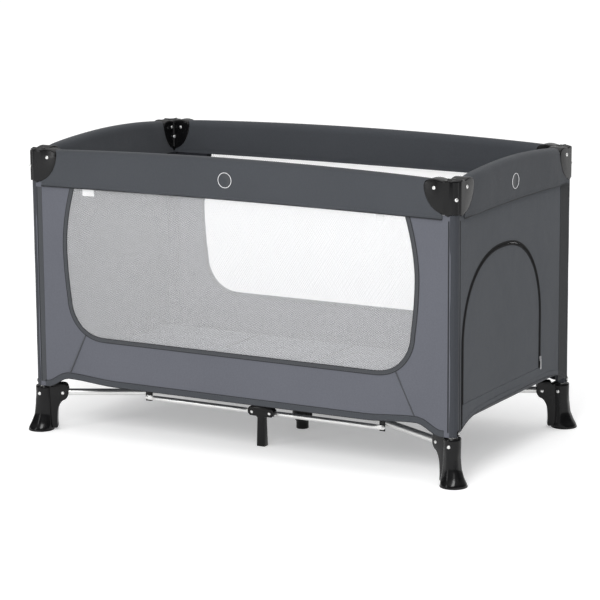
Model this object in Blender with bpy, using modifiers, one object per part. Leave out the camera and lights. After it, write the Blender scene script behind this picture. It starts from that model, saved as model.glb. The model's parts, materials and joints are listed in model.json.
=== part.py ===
"""Travel play yard: a folding travel cot with fabric walls on a steel X-frame. Metres, +Z up.

X runs along the long side, Y across it (the front wall is at -Y), the origin is on the floor under
the middle of the cot. Each corner piece is built once, for the rear right corner, and mirrored.
"""

from math import cos, pi, radians, sin, tau

import bmesh
import bpy
from mathutils import Matrix, Vector

# ---------------------------------------------------------------- driving dimensions (metres)
POST_X, POST_Y = 0.595, 0.3245  # post centres
POST_R, POST_WALL = 0.0125, 0.0012
POST_BOTTOM, POST_TOP = 0.062, 0.735
GAP = 0.0003  # clearance between touching pieces

PHI = radians(27.5)  # direction of the diagonal tubes in plan
RAIL_HALF_X = 0.525  # half a long rail, pivot to pivot
DIAG = RAIL_HALF_X / cos(PHI)  # diagonal tube, pivot to pivot
RAIL_HALF_Y = DIAG * sin(PHI)  # half a short rail, pivot to pivot
LATCH_X = 0.028  # latch pivots from the middle of a long rail
LATCH_Y = 0.0212
RAIL_Z, RAIL_R, RAIL_WALL = 0.7265, 0.0095, 0.0012
CAP_PIVOT_X = POST_X - LATCH_X - RAIL_HALF_X  # cap pivots, inboard of the post centre
CAP_PIVOT_Y = POST_Y - LATCH_Y - RAIL_HALF_Y
STUB = 0.006  # tube beyond its pivot

CAP_HALF, CAP_SLOT, CAP_SLOT_TOP = 0.0205, 0.0105, 0.739
CAP_BOTTOM, CAP_TOP, CAP_CHAMFER = 0.663, 0.745, 0.0145
LATCH_HALF, LATCH_TOP, LATCH_BOTTOM, LATCH_END = 0.0137, 0.7415, 0.713, 0.012
LATCH_SLOT, LATCH_FLOOR = 0.0101, 0.0018
LATCH_SWING = 0.0118  # room round a latch pivot for the rail's turning end
BUTTON_HALF_Y = 0.0080
COVER_HALF, COVER_T, COVER_BOTTOM, COVER_TOP = 0.0190, 0.0015, 0.648, 0.7455
COVER_INNER_BOTTOM = 0.654
COVER_END = 0.0215  # cover's end from the post centre
CROWN_X, CROWN_Y = 0.0115, 0.0150  # how far a padded cover rises at mid span

PIN_R, HOLE_R = 0.0025, 0.0030
HEAD_R, HEAD_T = 0.0045, 0.0018

FOOT_TOP, FOOT_R = 0.119, 0.0215
FOOT_EAR = 0.050  # foot pivot from the post centre, along the ear
EAR_HALF, EAR_SLOT = 0.0138, 0.0096
BASE_Z = 0.100  # axis of the diagonal tubes
DIAG_R, DIAG_WALL = 0.0088, 0.0010
FOOT_PIVOT = Vector((POST_X - FOOT_EAR * cos(PHI), POST_Y - FOOT_EAR * sin(PHI), BASE_Z))
HUB_PIVOT = FOOT_PIVOT - DIAG * Vector((cos(PHI), sin(PHI), 0))
CLIP_S = 0.229  # clip from the foot pivot, along the tube
CLIP_POINT = FOOT_PIVOT - CLIP_S * Vector((cos(PHI), sin(PHI), 0))
CLIP_LOW, CLIP_HIGH = 0.0790, 0.1045
BAR_OFFSET = 0.0151  # side bar's plane, outside the clip point
BAR_Y, BAR_Z, BAR_R = CLIP_POINT.y + BAR_OFFSET, 0.089, 0.0066
BLADE_HALF, BLADE_LEN = 0.0015, 0.022  # flattened bar ends
BAR_PIN_R, BAR_HOLE_R = 0.0020, 0.0025
BRACKET_HALF, BRACKET_END, BRACKET_TOP, BRACKET_LOW = 0.0085, 0.038, 0.103, 0.079

FABRIC_T = 0.0012
WRAP_IN = 0.0140  # wall fabric's inner radius about a post
WRAP_OUT = WRAP_IN + FABRIC_T
WRAP_END = 0.015  # how far the long walls reach round onto the short sides
WALL_TOP, HEM, HEM_POST = 0.6465, 0.1485, 0.1215
SIDE_HEM_END, SIDE_HEM_RISE = 0.155, 0.030
FLOOR_Z, FLOOR_T = 0.1500, 0.0012
MAT_X, MAT_Y, MAT_LOW, MAT_HIGH = 0.597, 0.300, 0.1520, 0.1690
PANELS = 4

WINDOW_TOP_X, WINDOW_WIDE_X, WINDOW_WIDE_Z = 0.488, 0.512, 0.500
WINDOW_LOW, WINDOW_CORNER_X = 0.256, 0.385
DOOR_MID_Y, DOOR_HALF, DOOR_LOW, DOOR_TOP, DOOR_SPRING = -0.078, 0.227, 0.197, 0.553, 0.330
ZIP_Z = 0.215

CORNERS = {"front_left": (-1, -1), "front_right": (1, -1), "rear_left": (-1, 1), "rear_right": (1, 1)}
UP = Vector((0, 0, 1))
OUT = Vector((cos(PHI), sin(PHI), 0))  # along a diagonal tube, outwards
SIDE = Vector((-sin(PHI), cos(PHI), 0))  # across it, towards the long side


# ---------------------------------------------------------------- modelling helpers
def clear_scene():
    for obj in list(bpy.data.objects):
        bpy.data.objects.remove(obj)


def make_material(name, colour, roughness, metallic=0.0):
    material = bpy.data.materials.new(name)
    material.use_nodes = True
    shader = material.node_tree.nodes["Principled BSDF"]
    shader.inputs["Base Color"].default_value = (*colour, 1)
    shader.inputs["Roughness"].default_value = roughness
    shader.inputs["Metallic"].default_value = metallic
    material.diffuse_color = (*colour, 1)
    return material


def mesh_of(verts, faces, name="shape"):
    mesh = bpy.data.meshes.new(name)
    mesh.from_pydata([tuple(v) for v in verts], [], faces)
    bm = bmesh.new()
    bm.from_mesh(mesh)
    bmesh.ops.recalc_face_normals(bm, faces=bm.faces)
    bm.to_mesh(mesh)
    bm.free()
    return mesh


def loft(sections):
    """A closed solid through loops of the same number of points, with flat ends."""
    n = len(sections[0])
    verts = [p for section in sections for p in section]
    faces = [tuple(range(n)), tuple(range(len(verts) - n, len(verts)))]
    for i in range(len(sections) - 1):
        a = i * n
        faces += [(a + j, a + (j + 1) % n, a + n + (j + 1) % n, a + n + j) for j in range(n)]
    return mesh_of(verts, faces)


def prism(outline, low, high, place):
    """An outline swept from low to high; place(a, b, c) turns (outline, outline, sweep) into a point."""
    return loft([[place(a, b, c) for a, b in outline] for c in (low, high)])


def along_z(a, b, c):
    return Vector((a, b, c))


def along_y(a, b, c):
    return Vector((a, c, b))


def along_x(a, b, c):
    return Vector((c, a, b))


def box(low, high):
    outline = [(low[0], low[1]), (high[0], low[1]), (high[0], high[1]), (low[0], high[1])]
    return prism(outline, low[2], high[2], along_z)


def turned_box(centre, e, n, z):
    """A box in the frame of a diagonal tube: e, n and z are (low, high) along OUT, SIDE and up."""
    outline = [(e[0], n[0]), (e[1], n[0]), (e[1], n[1]), (e[0], n[1])]

    def put(a, b, c):
        return Vector((centre.x, centre.y, c)) + OUT * a + SIDE * b

    return prism(outline, z[0], z[1], put)


def ring(centre, axis, radius, steps):
    axis = axis.normalized()
    u = axis.orthogonal().normalized()
    v = axis.cross(u)
    return [centre + radius * (cos(tau * k / steps) * u + sin(tau * k / steps) * v) for k in range(steps)]


def rod(start, end, radius, steps=16):
    axis = end - start
    return loft([ring(start, axis, radius, steps), ring(end, axis, radius, steps)])


def stepped_rod(start, axis, profile, steps=16):
    """A turned solid: profile holds (distance along the axis, radius)."""
    axis = axis.normalized()
    return loft([ring(start + axis * d, axis, r, steps) for d, r in profile])


def pipe(start, end, outer, wall, steps=16):
    """A tube, open at both ends."""
    axis = end - start
    loops = [ring(p, axis, r, steps) for p, r in
             ((start, outer), (end, outer), (end, outer - wall), (start, outer - wall))]
    faces = []
    for i in range(4):
        a, b = i * steps, (i + 1) % 4 * steps
        faces += [(a + j, a + (j + 1) % steps, b + (j + 1) % steps, b + j) for j in range(steps)]
    return mesh_of([p for loop in loops for p in loop], faces)


def rivet(centre, axis, reach, radius=PIN_R, head=HEAD_R, thick=HEAD_T, low=None):
    """A pin with domed heads, from -reach to reach, or one headed end when low is given."""
    profile = [(-reach - thick, head * 0.75), (-reach, head), (-reach, radius)]
    if low is not None:
        profile = [(low, radius)]
    profile += [(reach, radius), (reach, head), (reach + thick, head * 0.75)]
    return stepped_rod(centre, axis, profile, 6)


def evaluated(obj):
    graph = bpy.context.evaluated_depsgraph_get()
    return bpy.data.meshes.new_from_object(obj.evaluated_get(graph))


def temporary(mesh):
    obj = bpy.data.objects.new("temporary", mesh)
    bpy.context.scene.collection.objects.link(obj)
    return obj


def bevelled(mesh, width, segments=1, angle=35):
    obj = temporary(mesh)
    modifier = obj.modifiers.new("Bevel", "BEVEL")
    modifier.width = width
    modifier.segments = segments
    modifier.limit_method = "ANGLE"
    modifier.angle_limit = radians(angle)
    result = evaluated(obj)
    bpy.data.objects.remove(obj)
    return result


def combine(base, add=(), cut=()):
    """The base with other meshes joined on and then others cut away, by exact Booleans."""
    obj = temporary(base)
    helpers = []
    for operation, meshes in (("UNION", add), ("DIFFERENCE", cut)):
        for mesh in meshes:
            helper = temporary(mesh)
            helper.hide_render = True
            modifier = obj.modifiers.new(operation.title(), "BOOLEAN")
            modifier.operation = operation
            modifier.solver = "EXACT"
            modifier.object = helper
            helpers.append(helper)
    result = evaluated(obj)
    for helper in [obj, *helpers]:
        bpy.data.objects.remove(helper)
    return result


def mirrored(mesh, sx, sy):
    copy = mesh.copy()
    copy.transform(Matrix.Diagonal((sx, sy, 1, 1)))
    if sx * sy < 0:
        copy.flip_normals()
    return copy


def place(name, mesh, origin, material, smooth=35):
    """Adds the mesh, given in world coordinates, as an object whose origin is on its joint."""
    origin = Vector(origin)
    mesh = mesh.copy()
    mesh.name = name
    mesh.transform(Matrix.Translation(-origin))
    mesh.materials.clear()
    mesh.materials.append(material)
    obj = bpy.data.objects.new(name, mesh)
    obj.location = origin
    obj.parent = base_empty
    yard.objects.link(obj)
    for polygon in mesh.polygons:
        polygon.use_smooth = True
    mesh.set_sharp_from_angle(angle=radians(smooth))
    return obj


# ---------------------------------------------------------------- frame: posts, caps and feet
def post_mesh():
    centre = Vector((POST_X, POST_Y, 0))
    tube = pipe(centre + UP * POST_BOTTOM, centre + UP * POST_TOP, POST_R, POST_WALL, 12)
    foot_rivet = rivet(centre + UP * BASE_Z, Vector((0, 1, 0)), FOOT_R + GAP)
    diagonal = Vector((1, 1, 0)).normalized()
    face = (2 * CAP_HALF - CAP_CHAMFER) / 2**0.5
    cap_rivet = rivet(centre + UP * 0.700, diagonal, face + GAP, low=0.006)
    return combine(tube, add=[foot_rivet, cap_rivet])


def wing_outline(grow=0.0):
    """Side view of a cap's wing: distance inboard of the post centre, and height."""
    points = [(0.000, 0.664), (0.018, 0.664), (0.036, 0.677), (0.060, 0.704), (0.070, 0.728),
              (0.067, 0.7405), (0.055, 0.7465), (0.038, 0.7475), (0.016, 0.7430), (0.000, 0.7425)]
    middle = Vector((0.030, 0.712))
    grown = []
    for u, z in points:
        away = (Vector((u, z)) - middle).normalized()
        lift = 0.02 if grow and z > 0.74 else 0.0
        grown.append((u + grow * away.x * 1.4, z + grow * away.y * 1.4 + lift))
    return grown


def wing(half, grow=0.0, across=False):
    """A cap's wing over the end of a long rail or, across, of a short one."""
    if across:
        return prism([(POST_Y - u, z) for u, z in wing_outline(grow)], POST_X - half, POST_X + half, along_x)
    return prism([(POST_X - u, z) for u, z in wing_outline(grow)], POST_Y - half, POST_Y + half, along_y)


def cap_mesh():
    h, c = CAP_HALF, CAP_CHAMFER
    plan = [(-h, -h), (h, -h), (h, h - c), (h - c, h), (-h, h)]
    column = prism([(POST_X + a, POST_Y + b) for a, b in plan], CAP_BOTTOM, CAP_TOP, along_z)
    wings = [bevelled(wing(h), 0.0030), bevelled(wing(h, across=True), 0.0030)]
    centre = Vector((POST_X, POST_Y, 0))
    diagonal = Vector((1, 1, 0)).normalized()
    cuts = [
        rod(centre + UP * 0.60, centre + UP * (POST_TOP + 0.0005), POST_R + 2 * GAP, 12),
        box((POST_X - 0.09, POST_Y - CAP_SLOT, 0.60), (POST_X - 0.0165, POST_Y + CAP_SLOT, CAP_SLOT_TOP)),
        box((POST_X - CAP_SLOT, POST_Y - 0.09, 0.60), (POST_X + CAP_SLOT, POST_Y - 0.0165, CAP_SLOT_TOP)),
        rod(Vector((POST_X - CAP_PIVOT_X, POST_Y - 0.03, RAIL_Z)),
            Vector((POST_X - CAP_PIVOT_X, POST_Y + 0.03, RAIL_Z)), HOLE_R, 6),
        rod(Vector((POST_X - 0.03, POST_Y - CAP_PIVOT_Y, RAIL_Z)),
            Vector((POST_X + 0.03, POST_Y - CAP_PIVOT_Y, RAIL_Z)), HOLE_R, 6),
        rod(centre + UP * 0.700, centre + UP * 0.700 + diagonal * 0.03, HOLE_R, 6),
    ]
    return combine(column, add=wings, cut=cuts)


def foot_mesh():
    centre = Vector((POST_X, POST_Y, 0))
    outward = Vector((1, 1, 0)).normalized()
    rings = ((0.000, 0.0335, 0.0095), (0.007, 0.0333, 0.0093), (0.020, 0.0290, 0.0060),
             (0.042, 0.0243, 0.0020), (0.072, FOOT_R, 0.0), (FOOT_TOP, FOOT_R, 0.0))
    body = loft([ring(centre + UP * z + outward * shift, UP, r, 16) for z, r, shift in rings])
    outline = [(0.000, 0.0060), (0.0345, 0.0060), (0.0350, 0.0350), (0.0370, 0.0560), (0.0430, 0.0710),
               (0.0500, 0.0790), (0.057, 0.0825), (0.0635, 0.0910), (0.0655, 0.1030), (0.0635, 0.1160),
               (0.0565, 0.1240), (0.030, 0.1250), (0.0225, 0.1180), (0.000, 0.1175)]
    ear = prism(outline, -EAR_HALF, EAR_HALF, lambda e, z, n: centre - OUT * e + SIDE * n + UP * z)
    pivot = FOOT_PIVOT
    cuts = [
        rod(centre + UP * (POST_BOTTOM - 0.0005), centre + UP * 0.2, POST_R + 2 * GAP, 12),
        turned_box(pivot, (-0.04, 0.014), (-EAR_SLOT, EAR_SLOT), (0.0875, 0.20)),
        rod(pivot - SIDE * 0.03, pivot + SIDE * 0.03, HOLE_R, 6),
        rod(centre + Vector((0, -0.04, BASE_Z)), centre + Vector((0, 0.04, BASE_Z)), HOLE_R, 6),
    ]
    return combine(body, add=[bevelled(ear, 0.0015)], cut=cuts)


# ---------------------------------------------------------------- frame: top rails and latches
def rail_mesh(across):
    """Half a top rail with its two rivets. It lies along X or, across, along Y."""
    if across:
        direction, side = Vector((0, 1, 0)), Vector((1, 0, 0))
        start, length = Vector((POST_X, LATCH_Y, RAIL_Z)), RAIL_HALF_Y
    else:
        direction, side = Vector((1, 0, 0)), Vector((0, 1, 0))
        start, length = Vector((LATCH_X, POST_Y, RAIL_Z)), RAIL_HALF_X
    tube = pipe(start - direction * STUB, start + direction * (length + STUB), RAIL_R, RAIL_WALL, 10)
    return combine(tube, add=[
        rivet(start, side, LATCH_HALF + GAP, head=0.0040, thick=0.0014),
        rivet(start + direction * length, side, CAP_HALF + GAP),
    ])


def latch_mesh(across):
    """The folding joint in the middle of a rail: a channel open above, with a pocket for its button.

    The rail's halves rise out of it as their middle drops, and its floor keeps them level in use.
    """
    pivot = LATCH_Y if across else LATCH_X
    reach, block = pivot + LATCH_END, pivot - LATCH_SWING
    outline = [(-reach, LATCH_BOTTOM + 0.005), (-reach + 0.005, LATCH_BOTTOM), (reach - 0.005, LATCH_BOTTOM),
               (reach, LATCH_BOTTOM + 0.005), (reach, LATCH_TOP - 0.006), (reach - 0.006, LATCH_TOP),
               (-reach + 0.006, LATCH_TOP), (-reach, LATCH_TOP - 0.006)]
    if across:
        def put(a, b, c):
            return Vector((POST_X + c, a, b))
    else:
        def put(a, b, c):
            return Vector((a, POST_Y + c, b))

    def block_at(a0, a1, half, low, high):
        return prism([(a0, low), (a1, low), (a1, high), (a0, high)], -half, half, put)

    body = prism(outline, -LATCH_HALF, LATCH_HALF, put)
    pocket = block * 0.62 + GAP
    floor, above = LATCH_BOTTOM + LATCH_FLOOR, LATCH_TOP + 0.02
    cuts = [
        block_at(block, reach + 0.02, LATCH_SLOT, floor, above),
        block_at(-reach - 0.02, -block, LATCH_SLOT, floor, above),
        block_at(-pocket, pocket, BUTTON_HALF_Y + GAP, LATCH_BOTTOM - 0.02, 0.7335),
        rod(put(pivot, RAIL_Z, -0.03), put(pivot, RAIL_Z, 0.03), HOLE_R, 6),
        rod(put(-pivot, RAIL_Z, -0.03), put(-pivot, RAIL_Z, 0.03), HOLE_R, 6),
    ]
    return combine(body, cut=cuts)


def button_mesh(across):
    pivot = LATCH_Y if across else LATCH_X
    half = (pivot - LATCH_SWING) * 0.62
    low, high = LATCH_BOTTOM - 0.0085, 0.7275
    if across:
        body = box((POST_X - BUTTON_HALF_Y, -half, low), (POST_X + BUTTON_HALF_Y, half, high))
    else:
        body = box((-half, POST_Y - BUTTON_HALF_Y, low), (half, POST_Y + BUTTON_HALF_Y, high))
    return bevelled(body, 0.0012)


# ---------------------------------------------------------------- base: diagonal tubes, hub, side bars
def diagonal_mesh():
    tube = pipe(FOOT_PIVOT + OUT * STUB, HUB_PIVOT - OUT * STUB, DIAG_R, DIAG_WALL, 10)
    return combine(tube, add=[
        rivet(FOOT_PIVOT, SIDE, EAR_HALF + GAP),
        rod(HUB_PIVOT - SIDE * 0.0132, HUB_PIVOT + SIDE * 0.0132, PIN_R, 6),
        rod(CLIP_POINT, CLIP_POINT + SIDE * 0.0131, BAR_PIN_R, 6),
    ])


def hub_mesh():
    body = bevelled(box((-0.0375, -0.0435, 0.086), (0.0375, 0.0435, 0.118)), 0.0035)
    leg_profile = ((0, 0.0165), (0.018, 0.0165), (0.033, 0.0262), (0.095, 0.0262))
    leg = stepped_rod(Vector((0, 0, 0)), UP, leg_profile, 16)
    crown = stepped_rod(Vector((0, 0, 0.110)), UP, ((0, 0.024), (0.0385, 0.024)), 16)
    cuts = []
    for sx, sy in CORNERS.values():
        pivot = HUB_PIVOT
        slot = turned_box(pivot, (-0.0112, 0.06), (-EAR_SLOT, EAR_SLOT), (-0.05, BASE_Z + 0.0115))
        hole = rod(pivot - SIDE * 0.0135, pivot + SIDE * 0.0135, HOLE_R, 6)
        cuts += [mirrored(slot, sx, sy), mirrored(hole, sx, sy)]
    return combine(body, add=[leg, crown], cut=cuts)


def clip_mesh():
    """A wedge between the diagonal tube and the side bar, which stays level as they fold."""
    inner, outer, short = DIAG_R + GAP, BAR_OFFSET - BLADE_HALF - GAP, -0.0105

    def on_inner(t):
        point = SIDE * inner + OUT * t
        return point.x, point.y

    t_out = (outer - SIDE.y * inner) / OUT.y
    t_in = (short - SIDE.x * inner) / OUT.x
    plan = [on_inner(t_in), on_inner(t_out), (short, outer)]
    body = prism([(CLIP_POINT.x + a, CLIP_POINT.y + b) for a, b in plan], CLIP_LOW, CLIP_HIGH, along_z)
    cuts = [
        rod(CLIP_POINT, CLIP_POINT + SIDE * 0.0136, BAR_HOLE_R, 6),
        rod(Vector((CLIP_POINT.x, CLIP_POINT.y + outer - 0.0029, BAR_Z)),
            Vector((CLIP_POINT.x, CLIP_POINT.y + outer + 0.02, BAR_Z)), BAR_HOLE_R, 6),
    ]
    return combine(body, cut=cuts)


def bar_mesh():
    """A side bar with flattened ends: a pin into its clip at one, a rivet through its bracket at the other."""
    inner, outer = Vector((HUB_PIVOT.x, BAR_Y, BAR_Z)), Vector((CLIP_POINT.x, BAR_Y, BAR_Z))
    x = Vector((1, 0, 0))
    body = rod(inner + x * BLADE_LEN, outer - x * BLADE_LEN, BAR_R, 8)
    h = BAR_R - 0.0004
    outline = []
    for centre, turn in ((outer.x, -pi / 2), (inner.x, pi / 2)):
        angles = [turn + pi * k / 3 for k in range(4)]
        outline += [(centre + h * cos(a), BAR_Z + h * sin(a)) for a in angles]
    blade = prism(outline, BAR_Y - BLADE_HALF, BAR_Y + BLADE_HALF, along_y)
    y = Vector((0, 1, 0))
    pin_start = CLIP_POINT.y + BAR_OFFSET - BLADE_HALF - GAP - 0.0026
    shank = BAR_Y - pin_start + BLADE_HALF
    pin = stepped_rod(Vector((CLIP_POINT.x, pin_start, BAR_Z)), y,
                      ((0, BAR_PIN_R), (shank, BAR_PIN_R), (shank, 0.0038), (shank + 0.0014, 0.0028)), 8)
    middle_rivet = rivet(inner, y, BRACKET_HALF + GAP, BAR_PIN_R, 0.0042, 0.0014)
    return combine(body, add=[blade, pin, middle_rivet])


def bracket_mesh():
    """The black bracket that joins two side bars, with its leg down to the floor."""
    e, high, low, c = BRACKET_END, BRACKET_TOP, BRACKET_LOW, 0.0065
    half = [(0.0110, 0.0), (0.0120, 0.002), (0.0095, low - 0.004), (0.0135, low), (e - c, low), (e, low + c),
            (e, high - c), (e - c, high)]
    outline = half + [(-a, b) for a, b in half[::-1]]
    body = prism(outline, BAR_Y - BRACKET_HALF, BAR_Y + BRACKET_HALF, along_y)
    cuts = []
    for sx in (-1, 1):
        a, b = sorted((sx * 0.0145, sx * 0.06))
        cuts.append(box((a, BAR_Y - 0.0020, 0.04), (b, BAR_Y + 0.0020, BAR_Z + 0.0088)))
        cuts.append(rod(Vector((sx * HUB_PIVOT.x, BAR_Y - 0.02, BAR_Z)),
                        Vector((sx * HUB_PIVOT.x, BAR_Y + 0.02, BAR_Z)), BAR_HOLE_R, 6))
    return combine(body, cut=cuts)


# ---------------------------------------------------------------- fabric
def cover_mesh(across):
    """The padded band over a top rail: an inverted channel that rises a little at mid span."""
    half_span = (POST_Y if across else POST_X) - COVER_END
    crown = CROWN_Y if across else CROWN_X
    steps = 6 if across else 8
    h, t = COVER_HALF, COVER_T
    sections = []
    for i in range(steps + 1):
        s = -half_span + 2 * half_span * i / steps
        top = COVER_TOP + crown * max(1 - (s / (half_span - 0.045)) ** 2, 0)
        outer = [(-h, COVER_INNER_BOTTOM), (-h, top - 0.008), (-h * 0.8, top - 0.002), (-h * 0.42, top)]
        outer += [(-a, b) for a, b in outer[::-1]]
        outer[-1] = (h, COVER_BOTTOM)
        inner = [(h - t, COVER_BOTTOM), (h - t, top - 0.0086),
                 (h * 0.8 - t * 0.6, top - 0.0034), (h * 0.4, top - t)]
        inner += [(-a, b) for a, b in inner[::-1]]
        inner[-1] = (-(h - t), COVER_INNER_BOTTOM)
        if across:
            sections.append([Vector((POST_X + c, s, z)) for c, z in outer + inner])
        else:
            sections.append([Vector((s, POST_Y + c, z)) for c, z in outer + inner])
    cutter = wing(CAP_HALF + 0.0008, 0.0006, across)
    other = mirrored(cutter, 1, -1) if across else mirrored(cutter, -1, 1)
    return combine(loft(sections), cut=[cutter, other])


def smooth_step(t):
    t = min(max(t, 0.0), 1.0)
    return t * t * (3 - 2 * t)


def window_outline(shrink=0.0):
    """A barrel-shaped window: bowed sides, rounded lower corners, open to the wall's top edge."""
    side = []
    top = WALL_TOP + 0.02
    for k in range(9):
        z = top - (top - 0.36) * k / 8
        bow = (z - WINDOW_WIDE_Z) / (WALL_TOP - WINDOW_WIDE_Z)
        share = abs(bow) ** 1.8 * (1 if bow > 0 else 0.5)
        side.append((WINDOW_WIDE_X - (WINDOW_WIDE_X - WINDOW_TOP_X) * share, z))
    last_x, last_z = side[-1]
    for k in range(1, 10):
        a = pi / 2 * k / 9
        side.append((WINDOW_CORNER_X + (last_x - WINDOW_CORNER_X) * cos(a) ** 0.82,
                     last_z - (last_z - WINDOW_LOW) * sin(a) ** 1.1))
    points = side + [(-x, z) for x, z in side[::-1]]
    if shrink:
        points = [(x - shrink * (1 if x > 0 else -1), max(z, WINDOW_LOW + shrink)) for x, z in points]
        points = [(x, min(z, WALL_TOP)) for x, z in points]
    return points


def hem_height(x):
    return HEM + (HEM_POST - HEM) * smooth_step((abs(x) - 0.505) / 0.065)


def long_wall_mesh():
    """The rear wall: it wraps round both posts and carries the window opening."""
    stations = [(Vector((POST_X, POST_Y - WRAP_END)), 0.0), (Vector((POST_X, POST_Y)), 0.0)]
    stations += [(Vector((POST_X, POST_Y)), pi / 2 * k / 5) for k in range(1, 6)]
    stations += [(Vector((x, POST_Y)), pi / 2) for x in (0.570, 0.552, 0.534, 0.516, 0.500, 0.25, 0.0)]
    mirror = [(Vector((-c.x, c.y)), pi - a) for c, a in stations[-2::-1]]
    sections = []
    for centre, angle in stations + mirror:
        normal = Vector((cos(angle), sin(angle)))
        low = hem_height(centre.x)
        outer, inner = centre + normal * WRAP_OUT, centre + normal * WRAP_IN
        sections.append([Vector((*outer, low)), Vector((*outer, WALL_TOP)),
                         Vector((*inner, WALL_TOP)), Vector((*inner, low))])
    window = prism(window_outline(), POST_Y, POST_Y + 0.03, along_y)
    return combine(loft(sections), cut=[window])


def mesh_panel_mesh():
    middle = POST_Y + (WRAP_IN + WRAP_OUT) / 2
    return prism(window_outline(0.0005), middle - 0.0004, middle + 0.0004, along_y)


def side_hem(y):
    return SIDE_HEM_END + SIDE_HEM_RISE * (1 - (y / POST_Y) ** 2)


def door_outline(shrink=0.0):
    """The arch of the zipped door: straight legs and a rounded top."""
    a, rise = DOOR_HALF - shrink, DOOR_TOP - DOOR_SPRING - shrink
    points = [(DOOR_MID_Y + a, DOOR_LOW)]
    for k in range(17):
        t = pi * k / 16
        c, s = cos(t), sin(t)
        reach = a * abs(c) ** 0.86 * (1 if c > 0 else -1)
        points.append((DOOR_MID_Y + reach, DOOR_SPRING + rise * s ** 0.92))
    return points + [(DOOR_MID_Y - a, DOOR_LOW)]


def short_wall_mesh(door):
    half = POST_Y - WRAP_END - 0.001
    count = 12
    sections = []
    for i in range(count + 1):
        y = -half + 2 * half * i / count
        low = side_hem(y)
        sections.append([Vector((POST_X + WRAP_IN, y, low)), Vector((POST_X + WRAP_OUT, y, low)),
                         Vector((POST_X + WRAP_OUT, y, WALL_TOP)), Vector((POST_X + WRAP_IN, y, WALL_TOP))])
    wall = loft(sections)
    if not door:
        return wall
    return combine(wall, cut=[prism(door_outline(), POST_X, POST_X + 0.04, along_x)])


def door_mesh():
    outline = door_outline(0.0010)
    outline[0] = (outline[0][0], DOOR_LOW + 0.0010)
    outline[-1] = (outline[-1][0], DOOR_LOW + 0.0010)
    return prism(outline, POST_X + WRAP_IN, POST_X + WRAP_OUT, along_x)


def slider_mesh():
    x, y = POST_X + WRAP_OUT + GAP, DOOR_MID_Y + DOOR_HALF - 0.0005
    body = bevelled(box((x, y - 0.0045, ZIP_Z), (x + 0.0045, y + 0.0045, ZIP_Z + 0.012)), 0.0010, 1)
    tab = box((x + 0.0012, y - 0.0030, ZIP_Z - 0.020), (x + 0.0026, y + 0.0030, ZIP_Z + 0.004))
    return combine(body, add=[tab])


def floor_mesh():
    x, y = POST_X + WRAP_IN - 0.001, POST_Y + WRAP_IN - 0.001
    nx, ny = POST_X - 0.018, POST_Y - 0.018
    outline = [(nx, -y), (nx, -ny), (x, -ny), (x, ny), (nx, ny), (nx, y),
               (-nx, y), (-nx, ny), (-x, ny), (-x, -ny), (-nx, -ny), (-nx, -y)]
    return prism(outline, FLOOR_Z, FLOOR_Z + FLOOR_T, along_z)


def panel_mesh(index):
    width = 2 * MAT_X / PANELS
    low = -MAT_X + width * index + GAP
    return bevelled(box((low, -MAT_Y, MAT_LOW), (low + width - 2 * GAP, MAT_Y, MAT_HIGH)), 0.0040)


# ---------------------------------------------------------------- assembly
clear_scene()
yard = bpy.data.collections.new("travel_play_yard")
bpy.context.scene.collection.children.link(yard)
base_empty = bpy.data.objects.new("travel_play_yard_origin", None)
yard.objects.link(base_empty)

steel = make_material("satin_steel", (0.50, 0.50, 0.49), 0.30, 1.0)
rod_silver = make_material("satin_aluminium", (0.55, 0.55, 0.54), 0.32, 1.0)
plastic = make_material("black_plastic", (0.022, 0.022, 0.023), 0.28)
band_fabric = make_material("band_fabric", (0.078, 0.083, 0.092), 0.90)
wall_fabric = make_material("wall_fabric", (0.120, 0.127, 0.160), 0.92)
window_mesh = make_material("window_mesh", (0.460, 0.465, 0.485), 0.85)
mat_fabric = make_material("mattress_fabric", (0.105, 0.110, 0.125), 0.90)
zip_metal = make_material("zip_metal", (0.36, 0.36, 0.37), 0.35, 1.0)

shapes = {"post": post_mesh(), "cap": cap_mesh(), "foot": foot_mesh(), "diagonal_tube": diagonal_mesh(),
          "clip": clip_mesh(), "side_bar": bar_mesh()}
origins = {"post": (POST_X, POST_Y, 0), "cap": (POST_X, POST_Y, CAP_BOTTOM), "foot": (POST_X, POST_Y, 0),
           "diagonal_tube": FOOT_PIVOT, "clip": CLIP_POINT, "side_bar": (CLIP_POINT.x, BAR_Y, BAR_Z)}
skins = {"post": steel, "cap": plastic, "foot": plastic, "diagonal_tube": steel, "clip": plastic,
         "side_bar": rod_silver}
for kind, mesh in shapes.items():
    for corner, (sx, sy) in CORNERS.items():
        ox, oy, oz = origins[kind]
        place(f"{kind}_{corner}", mirrored(mesh, sx, sy), (sx * ox, sy * oy, oz), skins[kind])

long_rail, short_rail = rail_mesh(False), rail_mesh(True)
for corner, (sx, sy) in CORNERS.items():
    long_pivot = (sx * (POST_X - CAP_PIVOT_X), sy * POST_Y, RAIL_Z)
    short_pivot = (sx * POST_X, sy * (POST_Y - CAP_PIVOT_Y), RAIL_Z)
    place(f"long_rail_{corner}", mirrored(long_rail, sx, sy), long_pivot, steel)
    place(f"short_rail_{corner}", mirrored(short_rail, sx, sy), short_pivot, steel)

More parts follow.
